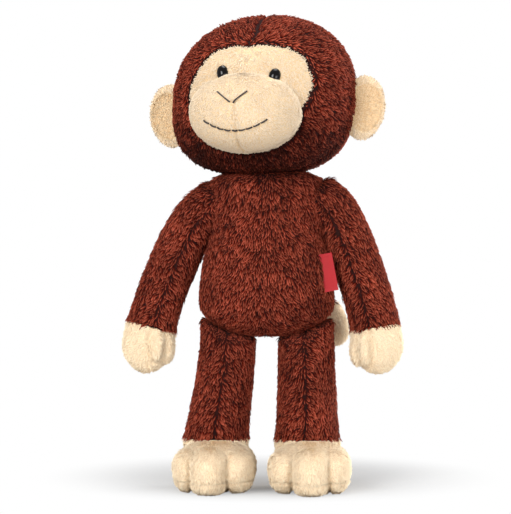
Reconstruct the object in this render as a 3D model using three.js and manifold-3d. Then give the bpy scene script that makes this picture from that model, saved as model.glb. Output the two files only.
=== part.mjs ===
// A plush monkey, standing, in millimetres: +Z is up and its face looks towards -Y.
// Left and right are the toy's own, so its left side is at +X (side = 1) and its right at -X (side = -1).
// Every cover is a pile shell with stuffing inside it, and each limb turns in a seat cut into the body.

import * as THREE from 'three';
import { mergeVertices } from 'three/addons/utils/BufferGeometryUtils.js';
import Module from 'manifold-3d';

const wasm = await Module();
wasm.setup();

// Cloth and clearances
const coverWall = 4.5; // pile and backing cloth together
const facePile = 1.5; // how much lower the short cream pile of the face lies than the brown
const fit = 0.4; // clearance between pieces that are sewn, nested or turn against each other
const floorCut = 0.5; // how deep the soft feet are pressed flat where they stand
const seamCrease = 1.1; // radius of the groove that a pulled seam leaves
const creaseProud = 0.3; // share of its radius that the groove's middle lies above the pile

// The body's levels, from the hips up
const hipZ = 107;
const torsoRise = 13.5; // of the torso's base above the hips
const torsoHeight = 136.5;
const shoulderRise = 100.5; // above the torso's base, like the next two
const tailRise = 22.5;
const labelRise = 66.5;
const torsoBase = hipZ + torsoRise;
const shoulderZ = torsoBase + shoulderRise;

// Head
const headHalfWidth = 73;
const headHalfDepth = 61;
const headRise = 67; // from the widest level to the crown
const headDrop = 62; // from the widest level to the underside
const crownFullness = 2.2; // 2 is round, and more is squarer
const jawFullness = 2.6;
const headSink = 8; // how far the head sits down over the torso's top
const headCentre = new THREE.Vector3(-3.2, -2, torsoBase + torsoHeight + headDrop - headSink);
const headTurn = 8.5; // degrees, the photographed turn towards the toy's right
const neckOpening = 12; // radius of the hole that the stuffing goes in by

// Face, measured from the head's centre
const faceShift = 2.5;
const faceHalfWidth = 46;
const faceTop = 39.5;
const faceDip = 1.2; // the small notch where the crown seam meets the face
const faceBottom = -8;
const faceBack = 15; // the face panel's back edge, ahead of the head's middle
const muzzleHalfWidth = 44;
const muzzleHalfHeight = 30.5;
const muzzleHalfDepth = 38;
const muzzleDrop = 16.5; // centre of the snout below the head's centre
const muzzleReach = 63.8; // centre of the snout ahead of the head's centre
const muzzleWall = 3;
const eyeSpacing = 41;
const eyeRise = 15.4;
const eyeHalfWidth = 4.8;
const eyeHalfHeight = 6;
const eyeBulge = 3.6;
const eyePostRadius = 1.6;
const eyePostLength = 9;
const washerRadius = 6;
const washerThickness = 1.2;
const washerClearance = 0.25; // round the eye's post
const threadRadius = 0.6;
const threadProud = 0.4; // share of its radius that a thread's middle lies above the pile
const noseHalfWidth = 11;
const noseHalfGap = 1.2; // between the lower ends of the two stitched lines
const noseTop = -1.2;
const noseBottom = -9.5;
const mouthHalfWidth = 25;
const mouthMiddle = -31;
const mouthCorner = -23;
const chinSeamTop = -11.5;
const chinSeamEnd = -44;

// Ears
const earAngle = 95; // degrees round the head from the face
const earHalfHeight = 26;
const earReach = 24.5; // beyond the hood
const earHalfThickness = 5.5;
const earDrop = 9.8; // centre of the ears below the head's centre
const earRaise = 2.3; // the left ear is sewn this much higher, and the right this much lower
const earLean = 6; // degrees that the ear's seam leans in with the hood
const earBlade = 0.8; // the blade's half-length, as a share of the reach
const earRootTrim = 1.5; // how much shorter the sewn root is than the ear, at each end
const earCupDepth = 4.2;
const earCupLength = 0.64; // the hollow's size, as shares of the blade's
const earCupHeight = 0.7;
const earCupAt = 0.36; // the hollow's middle, as a share of the reach

// Torso: height above its base, half-width, half-depth and how far the middle lies back
const torsoStations = [
  [0, 52, 35, -1],
  [19.5, 54.5, 40, -2],
  [42.5, 54.3, 42, -2],
  [63.5, 51, 41, -1.5],
  [82.5, 46.5, 37.5, 0],
  [101.5, 47, 34, 1],
  [119.5, 48, 31, 1],
  [torsoHeight, 44, 28, 1],
];
const torsoLowerDome = 28;
const torsoUpperDome = 14;
const torsoSquareness = 2.2;

// Arms, from the shoulder's middle: outwards, up, half-width and half-depth
const shoulderX = 57;
const shoulderRadius = 28;
const armSeatReach = 80; // how far round the shoulder the body is clear of the arm
const sleeveStations = [
  [-23, 13, 17.5, 19],
  [-5.2, -0.3, 20, 21],
  [6.5, -20, 20.4, 21.5],
  [17, -47.2, 20, 20.5],
  [25.2, -74, 19.8, 19.5],
  [29, -92, 20.6, 19],
];
const mittStations = [
  [31, -109, 21.6, 18.5],
  [31.6, -130.5, 18, 16],
];
const armUpperDome = 10;
const handDome = 22;
const rightArmSpread = 4; // degrees that the photographed right arm stands further out
const thumbHalfWidth = 8.2;
const thumbHalfDepth = 9.5;
const thumbHalfLength = 14;
const thumbInward = 16;
const thumbForward = 9;
const thumbRise = 19; // above the fingertips

// Legs: height, half-width and half-depth
const hipX = 31.4;
const hipRadius = 24.4; // of the seat at the middle of the leg
const hipSlope = 0.346; // how fast the slanted hip seam rises towards the outside
const seatInside = 24.8; // from the leg's middle to the seat's inner and outer ends
const seatOutside = 40;
const legStations = [
  [32, 27, 26.5],
  [41.5, 26.4, 26],
  [65, 24.4, 24.8],
  [90, 23.4, 24],
  [hipZ + 11, 22.8, 24],
  [hipZ + 40, 22.8, 24],
];
const leftAnkleShift = 0.8;
const rightAnkleShift = 9; // the photographed right leg stands further out
const cuffZ = 40;
const thighReach = 75; // how far forward the raised thigh needs room under the belly
const thighFlare = [1, 1.5]; // how much wider and deeper that room is towards the knee

// Feet, measured from the middle of the heel
const footOut = 1.6; // beyond the ankle's middle
const soleHeight = 12;
const heelHalf = [30, 40, 20];
const middleToeHalf = [15.5, 28, 17];
const sideToeHalf = [13.5, 25, 16.2];
const heelForward = 7;
const middleToeForward = 30;
const sideToeForward = 24;
const sideToeOut = 20.5;

// Tail
const tailRootRadius = 12;
const tailSwing = 40; // degrees that it swings out from the body
const tailRoot = new THREE.Vector3(8, 36, torsoBase + tailRise);
// from the tail's root: x, y, z and radius, with the cream tip from the cover's last station on
const tailCoverStations = [
  [0, 0, 0, 9.5],
  [6.5, 13.5, 4, 10],
  [23, 21.5, 5.5, 10.4],
  [38, 17.5, -3, 11],
];
const tailTipStations = [
  [43.7, 11, -16, 11.4],
  [43.7, 9, -31, 10],
];
const tailDome = 12;

// Side label
const labelTop = new THREE.Vector3(45.4, -22.3, torsoBase + labelRise);
const labelLength = 30;
const labelWidth = 7.4;
const labelThickness = 0.8;
const labelTilt = 10.5; // degrees
const labelRoot = 0.4; // sewn into the seam

// How finely the forms are faceted: hollows and stuffing have half the facets of what shows
const headFacets = { sides: 20, rows: 14 };
const muzzleFacets = { sides: 20, rows: 12 };
const eyeFacets = { sides: 16, rows: 8 };
const earFacets = { sides: 18, rows: 12 };
const earRootFacets = { sides: 14, rows: 10 };
const earCupFacets = { sides: 12, rows: 8 };
const torsoFacets = { sides: 20, rows: 14 };
const armFacets = { sides: 16, rows: 12 };
const thumbFacets = { sides: 12, rows: 8 };
const legFacets = { sides: 16, rows: 10 };
const heelFacets = { sides: 18, rows: 10 };
const toeFacets = { sides: 14, rows: 10 };
const footHollowFacets = { sides: 9, rows: 5 };
const tailFacets = { sides: 14, rows: 12 };
const turnSides = 20;
const postSides = 8;
const discSides = 16;
const threadSides = 3; // to each half
const noseSteps = 3;
const mouthSteps = 12;
const seamSteps = 8;
const shown = 1;
const hidden = 0.5;

const softSquareness = 2.1; // of any cross-section: 2 is a true round
const weldDistance = 1e-4;

const colours = {
  brown: 0x6e2d23,
  cream: 0xf2dfbd,
  black: 0x050505,
  thread: 0x2a120c,
  label: 0xaf1923,
  stuffing: 0xf4f4f0,
  washer: 0xe8e8e0,
};

// Turning geometry into solids and back

function toSolid(geometry) {
  const bare = new THREE.BufferGeometry();
  bare.setAttribute('position', geometry.getAttribute('position').clone());
  if (geometry.index) bare.setIndex(geometry.index.clone());
  const merged = mergeVertices(bare, weldDistance);
  const triangles = Array.from(merged.index.array);
  const build = (triVerts) => new wasm.Manifold(new wasm.Mesh({
    numProp: 3,
    vertProperties: Float32Array.from(merged.getAttribute('position').array),
    triVerts: Uint32Array.from(triVerts),
  }));
  const solid = build(triangles);
  // a profile may be drawn either way round, so a skin that faces in is turned out
  return solid.volume() > 0 ? solid : build(triangles.reverse());
}

function toGeometry(solid) {
  const mesh = solid.getMesh();
  const geometry = new THREE.BufferGeometry();
  geometry.setAttribute('position', new THREE.BufferAttribute(mesh.vertProperties, 3));
  geometry.setIndex(new THREE.BufferAttribute(mesh.triVerts, 1));
  return geometry;
}

function placed(solid, matrix) {
  return solid.transform(matrix.elements);
}

function moved(solid, x, y, z) {
  return solid.translate([x, y, z]);
}

function mirroredTo(side, solid) {
  return side > 0 ? solid : solid.mirror([1, 0, 0]);
}

function join(solids) {
  return solids.reduce((whole, next) => whole.add(next));
}

function cut(solid, tools) {
  return tools.reduce((whole, tool) => whole.subtract(tool), solid);
}

// A skin over rings of points. Rings of one point are the poles, and a flat end gets a fan to its middle.
function skin(rings) {
  const points = [];
  const faces = [];
  const starts = rings.map((ring) => {
    const start = points.length;
    points.push(...ring);
    return start;
  });
  const fan = (ring, tip, flipped) => {
    const count = rings[ring].length;
    for (let i = 0; i < count; i += 1) {
      const a = starts[ring] + i;
      const b = starts[ring] + ((i + 1) % count);
      faces.push(...(flipped ? [b, a, tip] : [a, b, tip]));
    }
  };
  const middleOf = (ring) => {
    const middle = ring.reduce((sum, point) => sum.add(point), new THREE.Vector3());
    points.push(middle.divideScalar(ring.length));
    return points.length - 1;
  };
  rings.slice(1).forEach((ring, i) => {
    const below = rings[i];
    if (below.length === 1) {
      fan(i + 1, starts[i], true);
    } else if (ring.length === 1) {
      fan(i, starts[i + 1], false);
    } else {
      const count = ring.length;
      for (let k = 0; k < count; k += 1) {
        const next = (k + 1) % count;
        const a = starts[i] + k;
        const b = starts[i] + next;
        const c = starts[i + 1] + next;
        const d = starts[i + 1] + k;
        faces.push(a, b, c, a, c, d);
      }
    }
  });
  if (rings[0].length > 1) fan(0, middleOf(rings[0]), true);
  const last = rings.length - 1;
  if (rings[last].length > 1) fan(last, middleOf(rings[last]), false);
  const geometry = new THREE.BufferGeometry();
  geometry.setAttribute('position', new THREE.Float32BufferAttribute(points.flatMap((p) => p.toArray()), 3));
  geometry.setIndex(faces);
  return toSolid(geometry);
}

function power(value, exponent) {
  return Math.sign(value) * Math.abs(value) ** exponent;
}

// One closed ring of points in the plane of u and v
function ring(centre, u, v, halfU, halfV, squareness, sides) {
  return Array.from({ length: sides }, (_, i) => {
    const angle = (i / sides) * 2 * Math.PI;
    return centre.clone()
      .addScaledVector(u, halfU * power(Math.cos(angle), 2 / squareness))
      .addScaledVector(v, halfV * power(Math.sin(angle), 2 / squareness));
  });
}

const alongX = new THREE.Vector3(1, 0, 0);
const alongY = new THREE.Vector3(0, 1, 0);
const alongZ = new THREE.Vector3(0, 0, 1);

// An egg about the origin, with its own fullness above and below its widest level
function egg(halfX, halfY, up, down, { above = 2, below = 2, sides, rows }) {
  const rings = Array.from({ length: rows + 1 }, (_, row) => {
    const angle = (row / rows - 0.5) * Math.PI;
    const fullness = angle < 0 ? below : above;
    const height = angle < 0 ? down : up;
    const z = height * power(Math.sin(angle), 2 / fullness);
    if (row === 0 || row === rows) return [new THREE.Vector3(0, 0, z)];
    const share = Math.cos(angle) ** (2 / fullness);
    const centre = new THREE.Vector3(0, 0, z);
    return ring(centre, alongX, alongY, halfX * share, halfY * share, softSquareness, sides);
  });
  return skin(rings);
}

// A smooth value at a distance along a list of stations
function curveThrough(rows) {
  return new THREE.CatmullRomCurve3(rows.map((row) => new THREE.Vector3(...row)), false, 'centripetal');
}

function domeShare(distance, dome) {
  if (dome <= 0 || distance >= dome) return 1;
  return Math.sqrt(Math.max(0, 1 - (1 - distance / dome) ** 2));
}

// A form that swells and tapers along its middle line, round at any end that has a dome
function swell(shape, inset, detail = shown) {
  const { middle, sizes, startDome, endDome, across, sides, rows, squareness = softSquareness } = shape;
  const line = curveThrough(middle);
  const size = curveThrough(sizes.map(([halfU, halfV]) => [halfU, halfV, 0]));
  const length = line.getLength();
  const endInset = Math.max(inset, 0);
  const from = startDome > 0 ? endInset : 0;
  const to = endDome > 0 ? length - endInset : length;
  const rings = [];
  const rowCount = Math.round(rows * detail);
  for (let row = 0; row <= rowCount; row += 1) {
    // the rows crowd towards the ends, where the form turns fastest
    const share = (1 - Math.cos((row / rowCount) * Math.PI)) / 2;
    const distance = from + (to - from) * share;
    const t = line.getUtoTmapping(distance / length);
    const centre = line.getPoint(t);
    const isPole = (row === 0 && startDome > 0) || (row === rowCount && endDome > 0);
    if (isPole) {
      rings.push([centre]);
      continue;
    }
    const tangent = line.getTangent(t);
    const u = across.clone().addScaledVector(tangent, -across.dot(tangent)).normalize();
    const v = tangent.clone().cross(u);
    const half = size.getPoint(t);
    const dome = domeShare(distance - from, startDome > 0 ? startDome - endInset : 0)
      * domeShare(to - distance, endDome > 0 ? endDome - endInset : 0);
    const halfU = (half.x - inset) * dome;
    const halfV = (half.y - inset) * dome;
    rings.push(ring(centre, u, v, halfU, halfV, squareness, sides * detail));
  }
  return skin(rings);
}

function sphere(radius, detail = shown) {
  return toSolid(new THREE.SphereGeometry(radius, turnSides * detail, (turnSides / 2) * detail));
}

function cylinder(radius, bottom, top, sides = discSides) {
  const solid = toSolid(new THREE.CylinderGeometry(radius, radius, top - bottom, sides));
  return moved(placed(solid, new THREE.Matrix4().makeRotationX(Math.PI / 2)), 0, 0, (top + bottom) / 2);
}

function box(low, high) {
  const size = new THREE.Vector3().subVectors(high, low);
  const middle = new THREE.Vector3().addVectors(low, high).divideScalar(2);
  return moved(toSolid(new THREE.BoxGeometry(size.x, size.y, size.z)), ...middle.toArray());
}

// Everything on one side of a plane, out to further than the toy reaches
function beyond(point, normal, shift = 0) {
  const reach = 300;
  const slab = box(new THREE.Vector3(-reach, -reach, shift), new THREE.Vector3(reach, reach, reach));
  return placed(slab, aimed(point, normal));
}

// The placing that turns +Z to a direction and moves the origin to a point
function aimed(point, direction) {
  const turn = new THREE.Quaternion().setFromUnitVectors(alongZ, direction.clone().normalize());
  return new THREE.Matrix4().compose(point, turn, new THREE.Vector3(1, 1, 1));
}

// A profile of [radius, distance] turned about the X axis
function turnedAboutX(profile) {
  const points = profile.map(([radius, distance]) => new THREE.Vector2(radius, distance));
  const solid = toSolid(new THREE.LatheGeometry(points, turnSides));
  return placed(solid, new THREE.Matrix4().makeRotationZ(-Math.PI / 2));
}

function tube(points, radius, steps) {
  const section = new THREE.Shape();
  section.absarc(0, 0, radius, 0, 2 * Math.PI);
  const geometry = new THREE.ExtrudeGeometry(section, {
    steps,
    curveSegments: threadSides,
    extrudePath: new THREE.CatmullRomCurve3(points),
  });
  return toSolid(geometry);
}

const radians = THREE.MathUtils.degToRad;

// The head's own forms, about the head's centre

function headForm(inset, detail = shown) {
  return egg(
    headHalfWidth - inset, headHalfDepth - inset, headRise - inset, headDrop - inset,
    {
      above: crownFullness,
      below: jawFullness,
      sides: headFacets.sides * detail,
      rows: headFacets.rows * detail,
    },
  );
}

// The widest that the head's underside is at a depth below its centre, as it turns on the neck
function headEnvelope(grow) {
  const steps = 5;
  const widest = 0.75; // share of the head's half-width that comes near the torso
  const profile = [[0, -headDrop - grow]];
  for (let i = 1; i <= steps; i += 1) {
    const share = (i / steps) * widest;
    const drop = (headDrop + grow) * (1 - share ** jawFullness) ** (1 / jawFullness);
    profile.push([(headHalfWidth + grow) * share, -drop]);
  }
  profile.push([0, profile[steps][1]]);
  const points = profile.map(([radius, z]) => new THREE.Vector2(radius, z));
  const solid = toSolid(new THREE.LatheGeometry(points, turnSides));
  return placed(solid, new THREE.Matrix4().makeRotationX(Math.PI / 2));
}

function muzzleForm(inset, detail = shown) {
  const solid = egg(
    muzzleHalfWidth - inset, muzzleHalfHeight - inset, muzzleHalfDepth - inset, muzzleHalfDepth - inset,
    {
      above: softSquareness,
      below: softSquareness,
      sides: muzzleFacets.sides * detail,
      rows: muzzleFacets.rows * detail,
    },
  );
  const forward = placed(solid, new THREE.Matrix4().makeRotationX(Math.PI / 2));
  return moved(forward, 0, -muzzleReach, -muzzleDrop);
}

// The point of the snout's front at a place seen from ahead
function onMuzzle(x, z, proud = 0) {
  const side = Math.abs(x / muzzleHalfWidth) ** softSquareness;
  const height = Math.abs((z + muzzleDrop) / muzzleHalfHeight) ** softSquareness;
  const reach = muzzleHalfDepth * (1 - side - height) ** (1 / softSquareness);
  return new THREE.Vector3(x, -muzzleReach - reach - proud, z);
}

// The point of the upper face at a place seen from ahead, and the way that it looks
function onFace(x, z) {
  const width = headHalfWidth - facePile;
  const depth = headHalfDepth - facePile;
  const rise = headRise - facePile;
  const level = (1 - (z / rise) ** crownFullness) ** (1 / crownFullness);
  const y = -depth * level * Math.sqrt(1 - (x / (width * level)) ** 2);
  const normal = new THREE.Vector3(x / width ** 2, y / depth ** 2, z / rise ** 2).normalize();
  return { point: new THREE.Vector3(x, y, z), normal };
}

// The outline of the upper face, carried back through the front of the head
function faceBlock(grow) {
  const outline = [
    [-1, faceBottom],
    [-1, 0.05 * faceTop],
    [-0.96, 0.5 * faceTop],
    [-0.8, 0.8 * faceTop],
    [-0.42, 0.98 * faceTop],
    [0, faceTop - faceDip],
    [0.42, 0.98 * faceTop],
    [0.8, 0.8 * faceTop],
    [0.96, 0.5 * faceTop],
    [1, 0.05 * faceTop],
    [1, faceBottom],
  ].map(([share, z]) => new THREE.Vector2(share * (faceHalfWidth + grow), z + Math.sign(z) * grow));
  const shape = new THREE.Shape();
  shape.moveTo(outline[0].x, outline[0].y);
  shape.splineThru(outline.slice(1));
  shape.closePath();
  const block = new THREE.ExtrudeGeometry(shape, {
    depth: 2 * headHalfDepth,
    bevelEnabled: false,
    curveSegments: 2,
  });
  const upright = placed(toSolid(block), new THREE.Matrix4().makeRotationX(Math.PI / 2));
  return moved(upright, faceShift, -faceBack, 0);
}

function eyeFrame(side) {
  const { point, normal } = onFace((side * eyeSpacing) / 2, eyeRise);
  return aimed(point.addScaledVector(normal, fit), normal);
}

function eyePost(grow) {
  const intoDome = 0.2;
  return cylinder(eyePostRadius + grow, -eyePostLength - grow, intoDome, postSides);
}

function eye(side) {
  const dome = egg(eyeHalfWidth, eyeHalfHeight, eyeBulge, eyeBulge, eyeFacets);
  const front = cut(dome, [beyond(new THREE.Vector3(), alongZ.clone().negate())]);
  return placed(join([front, eyePost(0)]), eyeFrame(side));
}

function eyeRoom(side) {
  const room = egg(eyeHalfWidth + fit, eyeHalfHeight + fit, eyeBulge + fit, eyeBulge, eyeFacets);
  return placed(join([room, eyePost(fit)]), eyeFrame(side));
}

const washerTop = -(coverWall - facePile) - 2 * fit;

function washer(side) {
  const disc = cylinder(washerRadius, washerTop - washerThickness, washerTop);
  return placed(disc.subtract(eyePost(washerClearance)), eyeFrame(side));
}

// The washer's room in the stuffing is open towards the face, and the one in the cloth is open inwards
function washerRoom(side, from, to) {
  return placed(cylinder(washerRadius + fit, from, to), eyeFrame(side));
}

function noseLine(side) {
  return [0, 0.5, 1].map((share) => onMuzzle(
    side * (noseHalfGap + share * (noseHalfWidth - noseHalfGap)),
    noseBottom + share * (noseTop - noseBottom),
    threadRadius * threadProud,
  ));
}

function mouthLine() {
  return Array.from({ length: seamSteps + 1 }, (_, i) => {
    const share = (2 * i) / seamSteps - 1;
    const z = mouthMiddle + (mouthCorner - mouthMiddle) * share ** 2;
    return onMuzzle(share * mouthHalfWidth, z, threadRadius * threadProud);
  });
}

function chinSeamLine() {
  return Array.from({ length: seamSteps + 1 }, (_, i) => {
    const z = chinSeamTop + ((chinSeamEnd - chinSeamTop) * i) / seamSteps;
    return onMuzzle(0, z, seamCrease * creaseProud);
  });
}

// Ears: u points out of the head, +Z runs up the ear's seam

function earFrame(side) {
  const angle = radians(earAngle) * side;
  const out = new THREE.Vector3(Math.sin(angle), -Math.cos(angle), 0);
  const radius = 1 / Math.hypot(out.x / headHalfWidth, out.y / headHalfDepth);
  const centre = out.clone().multiplyScalar(radius).setZ(-earDrop + side * earRaise);
  const lean = new THREE.Vector3().crossVectors(out, alongZ).normalize();
  const up = alongZ.clone().applyAxisAngle(lean, radians(-earLean));
  const outward = out.clone().addScaledVector(up, -out.dot(up)).normalize();
  const back = new THREE.Vector3().crossVectors(up, outward);
  return { centre, up, matrix: new THREE.Matrix4().makeBasis(outward, back, up).setPosition(centre) };
}

function earRoot(grow) {
  const half = earHalfThickness + grow;
  const halfHeight = earHalfHeight - earRootTrim + grow;
  return egg(half, half, halfHeight, halfHeight, earRootFacets);
}

function ear(side) {
  const halfReach = earReach * earBlade;
  const blade = egg(halfReach, earHalfThickness, earHalfHeight, earHalfHeight, earFacets);
  const outside = moved(blade, earReach - halfReach, 0, 0)
    .subtract(beyond(new THREE.Vector3(), alongX.clone().negate()));
  const cupHalfHeight = earHalfHeight * earCupHeight;
  const cup = egg(halfReach * earCupLength, earCupDepth, cupHalfHeight, cupHalfHeight, earCupFacets);
  // the hollow is in the face of the ear that looks forward, which is -v on the left and +v on the right
  const hollow = moved(cup, earReach * earCupAt, -side * earHalfThickness, 0);
  return placed(join([outside, earRoot(0)]).subtract(hollow), earFrame(side).matrix);
}

// Head assembly, in the head's own frame

const headParts = (() => {
  const filled = coverWall + fit;
  const neckHole = cylinder(neckOpening, -headDrop - coverWall, 0);
  const grooves = [1, -1].map((side) => placed(earRoot(fit), earFrame(side).matrix));
  const hood = cut(headForm(0), [
    headForm(coverWall, hidden), neckHole, faceBlock(fit), muzzleForm(-fit), ...grooves,
  ]);
  const pockets = [1, -1].map((side) => washerRoom(side, -2 * washerRadius, washerTop + fit));
  const upperFace = cut(headForm(facePile).intersect(faceBlock(0)), [
    headForm(coverWall, hidden), muzzleForm(-fit), eyeRoom(1), eyeRoom(-1), ...pockets,
  ]);
  const threads = [noseLine(1), noseLine(-1), mouthLine()];
  const threadSteps = [noseSteps, noseSteps, mouthSteps];
  const grooveFor = (line, i) => tube(line, threadRadius + fit, threadSteps[i]);
  const snout = cut(muzzleForm(0), [
    muzzleForm(muzzleWall, hidden), headForm(coverWall, hidden), eyeRoom(1), eyeRoom(-1), ...pockets,
    ...threads.map(grooveFor), tube(chinSeamLine(), seamCrease, seamSteps),
  ]);
  const filling = cut(join([headForm(filled, hidden), muzzleForm(muzzleWall + fit, hidden)]), [
    ...[1, -1].map((side) => washerRoom(side, washerTop - washerThickness - fit, coverWall)),
    placed(eyePost(fit), eyeFrame(1)), placed(eyePost(fit), eyeFrame(-1)),
    ...[1, -1].map((side) => placed(earRoot(2 * fit), earFrame(side).matrix)),
  ]);
  return {
    head_cover: [hood, 'brown'],
    face_panel: [upperFace, 'cream'],
    muzzle_cover: [snout, 'cream'],
    head_stuffing: [filling, 'stuffing'],
    eye_left: [eye(1), 'black'],
    eye_right: [eye(-1), 'black'],
    eye_washer_left: [washer(1), 'washer'],
    eye_washer_right: [washer(-1), 'washer'],
    nose_stitch_left: [tube(threads[0], threadRadius, threadSteps[0]), 'thread'],
    nose_stitch_right: [tube(threads[1], threadRadius, threadSteps[1]), 'thread'],
    mouth_stitch: [tube(threads[2], threadRadius, threadSteps[2]), 'thread'],
    ear_left: [ear(1), 'cream'],
    ear_right: [ear(-1), 'cream'],
  };
})();

// Torso

function torsoForm(inset, detail = shown) {
  return swell({
    middle: torsoStations.map(([height, , , back]) => [0, back, torsoBase + height]),
    sizes: torsoStations.map(([, halfWidth, halfDepth]) => [halfWidth, halfDepth]),
    startDome: torsoLowerDome,
    endDome: torsoUpperDome,
    across: alongX,
    ...torsoFacets,
    squareness: torsoSquareness,
  }, inset, detail);
}

function torsoHalfWidthAt(z) {
  const height = THREE.MathUtils.clamp(z - torsoBase, 0, torsoHeight);
  const next = Math.max(1, torsoStations.findIndex(([level]) => level >= height));
  const [low, lowHalf] = torsoStations[next - 1];
  const [high, highHalf] = torsoStations[next];
  return THREE.MathUtils.mapLinear(height, low, high, lowHalf, highHalf);
}

// The seat of an arm: a ball in the body, then clear of the body's side all round the shoulder's axis
function armSeatX(radius) {
  const side = torsoHalfWidthAt(shoulderZ - radius) + 2 * fit;
  if (radius >= shoulderRadius) return side;
  return Math.min(side, shoulderX - Math.sqrt(shoulderRadius ** 2 - radius ** 2));
}

function armSeatBlock(inset) {
  const steps = 5;
  const outside = Array.from({ length: steps }, (_, i) => (
    armSeatReach + ((shoulderRadius - armSeatReach) * i) / steps
  ));
  const inBall = Array.from({ length: steps + 1 }, (_, i) => (
    shoulderRadius * Math.cos((i / steps) * (Math.PI / 2))
  ));
  const seat = [...outside, ...inBall].map((radius) => [radius, armSeatX(radius) + inset]);
  seat[seat.length - 1][0] = 0;
  return moved(turnedAboutX([[0, 0], [armSeatReach, 0], ...seat]), 0, 0, shoulderZ);
}

// A point of the arm, from the shoulder's middle, with the photographed spread of the right arm
function armPoint(side, out, forward, up) {
  const spread = side < 0 ? radians(rightArmSpread) : 0;
  return new THREE.Vector3(out, -forward, up)
    .applyAxisAngle(alongY, -spread)
    .add(new THREE.Vector3(shoulderX, 0, shoulderZ));
}

function armForm(side, inset, detail = shown) {
  const stations = [...sleeveStations, ...mittStations];
  return swell({
    middle: stations.map(([out, up]) => armPoint(side, out, 0, up).toArray()),
    sizes: stations.map(([, , halfWidth, halfDepth]) => [halfWidth, halfDepth]),
    startDome: armUpperDome,
    endDome: handDome,
    across: alongX,
    ...armFacets,
  }, inset, detail);
}

// The sleeve ends and the mitt begins at the last station of the sleeve
function wristPlane(side) {
  const [forearm, wrist] = sleeveStations.slice(-2).map(([out, up]) => armPoint(side, out, 0, up));
  const [handOut, handUp] = mittStations[0];
  const direction = armPoint(side, handOut, 0, handUp).sub(forearm).normalize();
  return { point: wrist, direction };
}

function thumb(side) {
  const [tipOut, tipUp] = mittStations[mittStations.length - 1];
  const solid = egg(thumbHalfWidth, thumbHalfDepth, thumbHalfLength, thumbHalfLength, thumbFacets);
  const centre = armPoint(side, tipOut - thumbInward, thumbForward, tipUp + thumbRise);
  return moved(solid, ...centre.toArray());
}

function armParts(side) {
  const { point, direction } = wristPlane(side);
  const handward = beyond(point, direction, -fit / 2);
  const shoulderward = beyond(point, direction.clone().negate(), -fit / 2);
  const seat = armSeatBlock(0);
  const hollow = armForm(side, coverWall, hidden).subtract(armSeatBlock(coverWall));
  const sleeve = cut(armForm(side, 0), [seat, hollow, handward]);
  const mitt = cut(join([armForm(side, 0).subtract(shoulderward), thumb(side)]), [
    armForm(side, coverWall, hidden),
  ]);
  const filling = cut(armForm(side, coverWall + fit, hidden), [armSeatBlock(coverWall + fit)]);
  const name = side > 0 ? 'left' : 'right';
  return {
    [`arm_cover_${name}`]: [mirroredTo(side, sleeve), 'brown'],
    [`hand_${name}`]: [mirroredTo(side, mitt), 'cream'],
    [`arm_stuffing_${name}`]: [mirroredTo(side, filling), 'stuffing'],
  };
}

// Legs

function legForm(side, inset, detail = shown) {
  const shift = side > 0 ? leftAnkleShift : rightAnkleShift;
  const ankleZ = legStations[1][0];
  const centreX = (z) => hipX + shift * Math.max(0, (hipZ - z) / (hipZ - ankleZ));
  return swell({
    middle: legStations.map(([z]) => [centreX(z), 0, z]),
    sizes: legStations.map(([, halfWidth, halfDepth]) => [halfWidth, halfDepth]),
    startDome: 0,
    endDome: 0,
    across: alongX,
    ...legFacets,
  }, inset, detail);
}

function hipSeat(grow) {
  const inner = hipX - seatInside;
  const outer = hipX + seatOutside;
  const radiusAt = (x) => hipRadius + (x - hipX) * hipSlope + grow;
  const profile = [[0, inner], [radiusAt(inner), inner], [radiusAt(outer), outer], [0, outer]];
  return moved(turnedAboutX(profile), 0, 0, hipZ);
}

// The room that the thigh needs under the belly when the toy sits
function thighRoom(grow) {
  const [, halfWidth, halfDepth] = legStations[legStations.length - 2];
  const [wider, deeper] = thighFlare;
  return swell({
    middle: [[hipX, 0, hipZ], [hipX, -thighReach, hipZ]],
    sizes: [[halfWidth, halfDepth], [halfWidth + wider, halfDepth + deeper]],
    startDome: 0,
    endDome: 0,
    across: alongX,
    sides: legFacets.sides,
    rows: 2,
  }, -grow);
}

function legTop(side, inset, detail = shown) {
  const column = legForm(side, inset, detail);
  const upper = beyond(new THREE.Vector3(0, 0, hipZ), alongZ);
  return column.subtract(upper.subtract(hipSeat(-inset)));
}

function footLump(side, [halfX, halfY, halfZ], out, forward, inset, facets) {
  const shift = side > 0 ? leftAnkleShift : rightAnkleShift;
  const solid = egg(halfX - inset, halfY - inset, halfZ - inset, halfZ - inset, facets);
  return moved(solid, hipX + shift + footOut + out, -forward, halfZ - floorCut);
}

function footForm(side) {
  const aboveCuff = beyond(new THREE.Vector3(0, 0, cuffZ), alongZ, -fit / 2);
  return join([
    footLump(side, heelHalf, 0, heelForward, 0, heelFacets),
    legForm(side, 0).subtract(aboveCuff),
    footLump(side, middleToeHalf, 0, middleToeForward, 0, toeFacets),
    footLump(side, sideToeHalf, -sideToeOut, sideToeForward, 0, toeFacets),
    footLump(side, sideToeHalf, sideToeOut, sideToeForward, 0, toeFacets),
  ]);
}

// One toe box lies behind the three toes, so the hollow of the foot is plain
function footHollow(side, inset) {
  const toeBox = [sideToeOut + sideToeHalf[0] / 2, sideToeHalf[1], sideToeHalf[2]];
  const aboveCuff = beyond(new THREE.Vector3(0, 0, cuffZ), alongZ, fit);
  return join([
    footLump(side, heelHalf, 0, heelForward, inset, footHollowFacets),
    legForm(side, inset, hidden).subtract(aboveCuff),
    footLump(side, toeBox, 0, sideToeForward, inset, footHollowFacets),
  ]);
}

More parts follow.
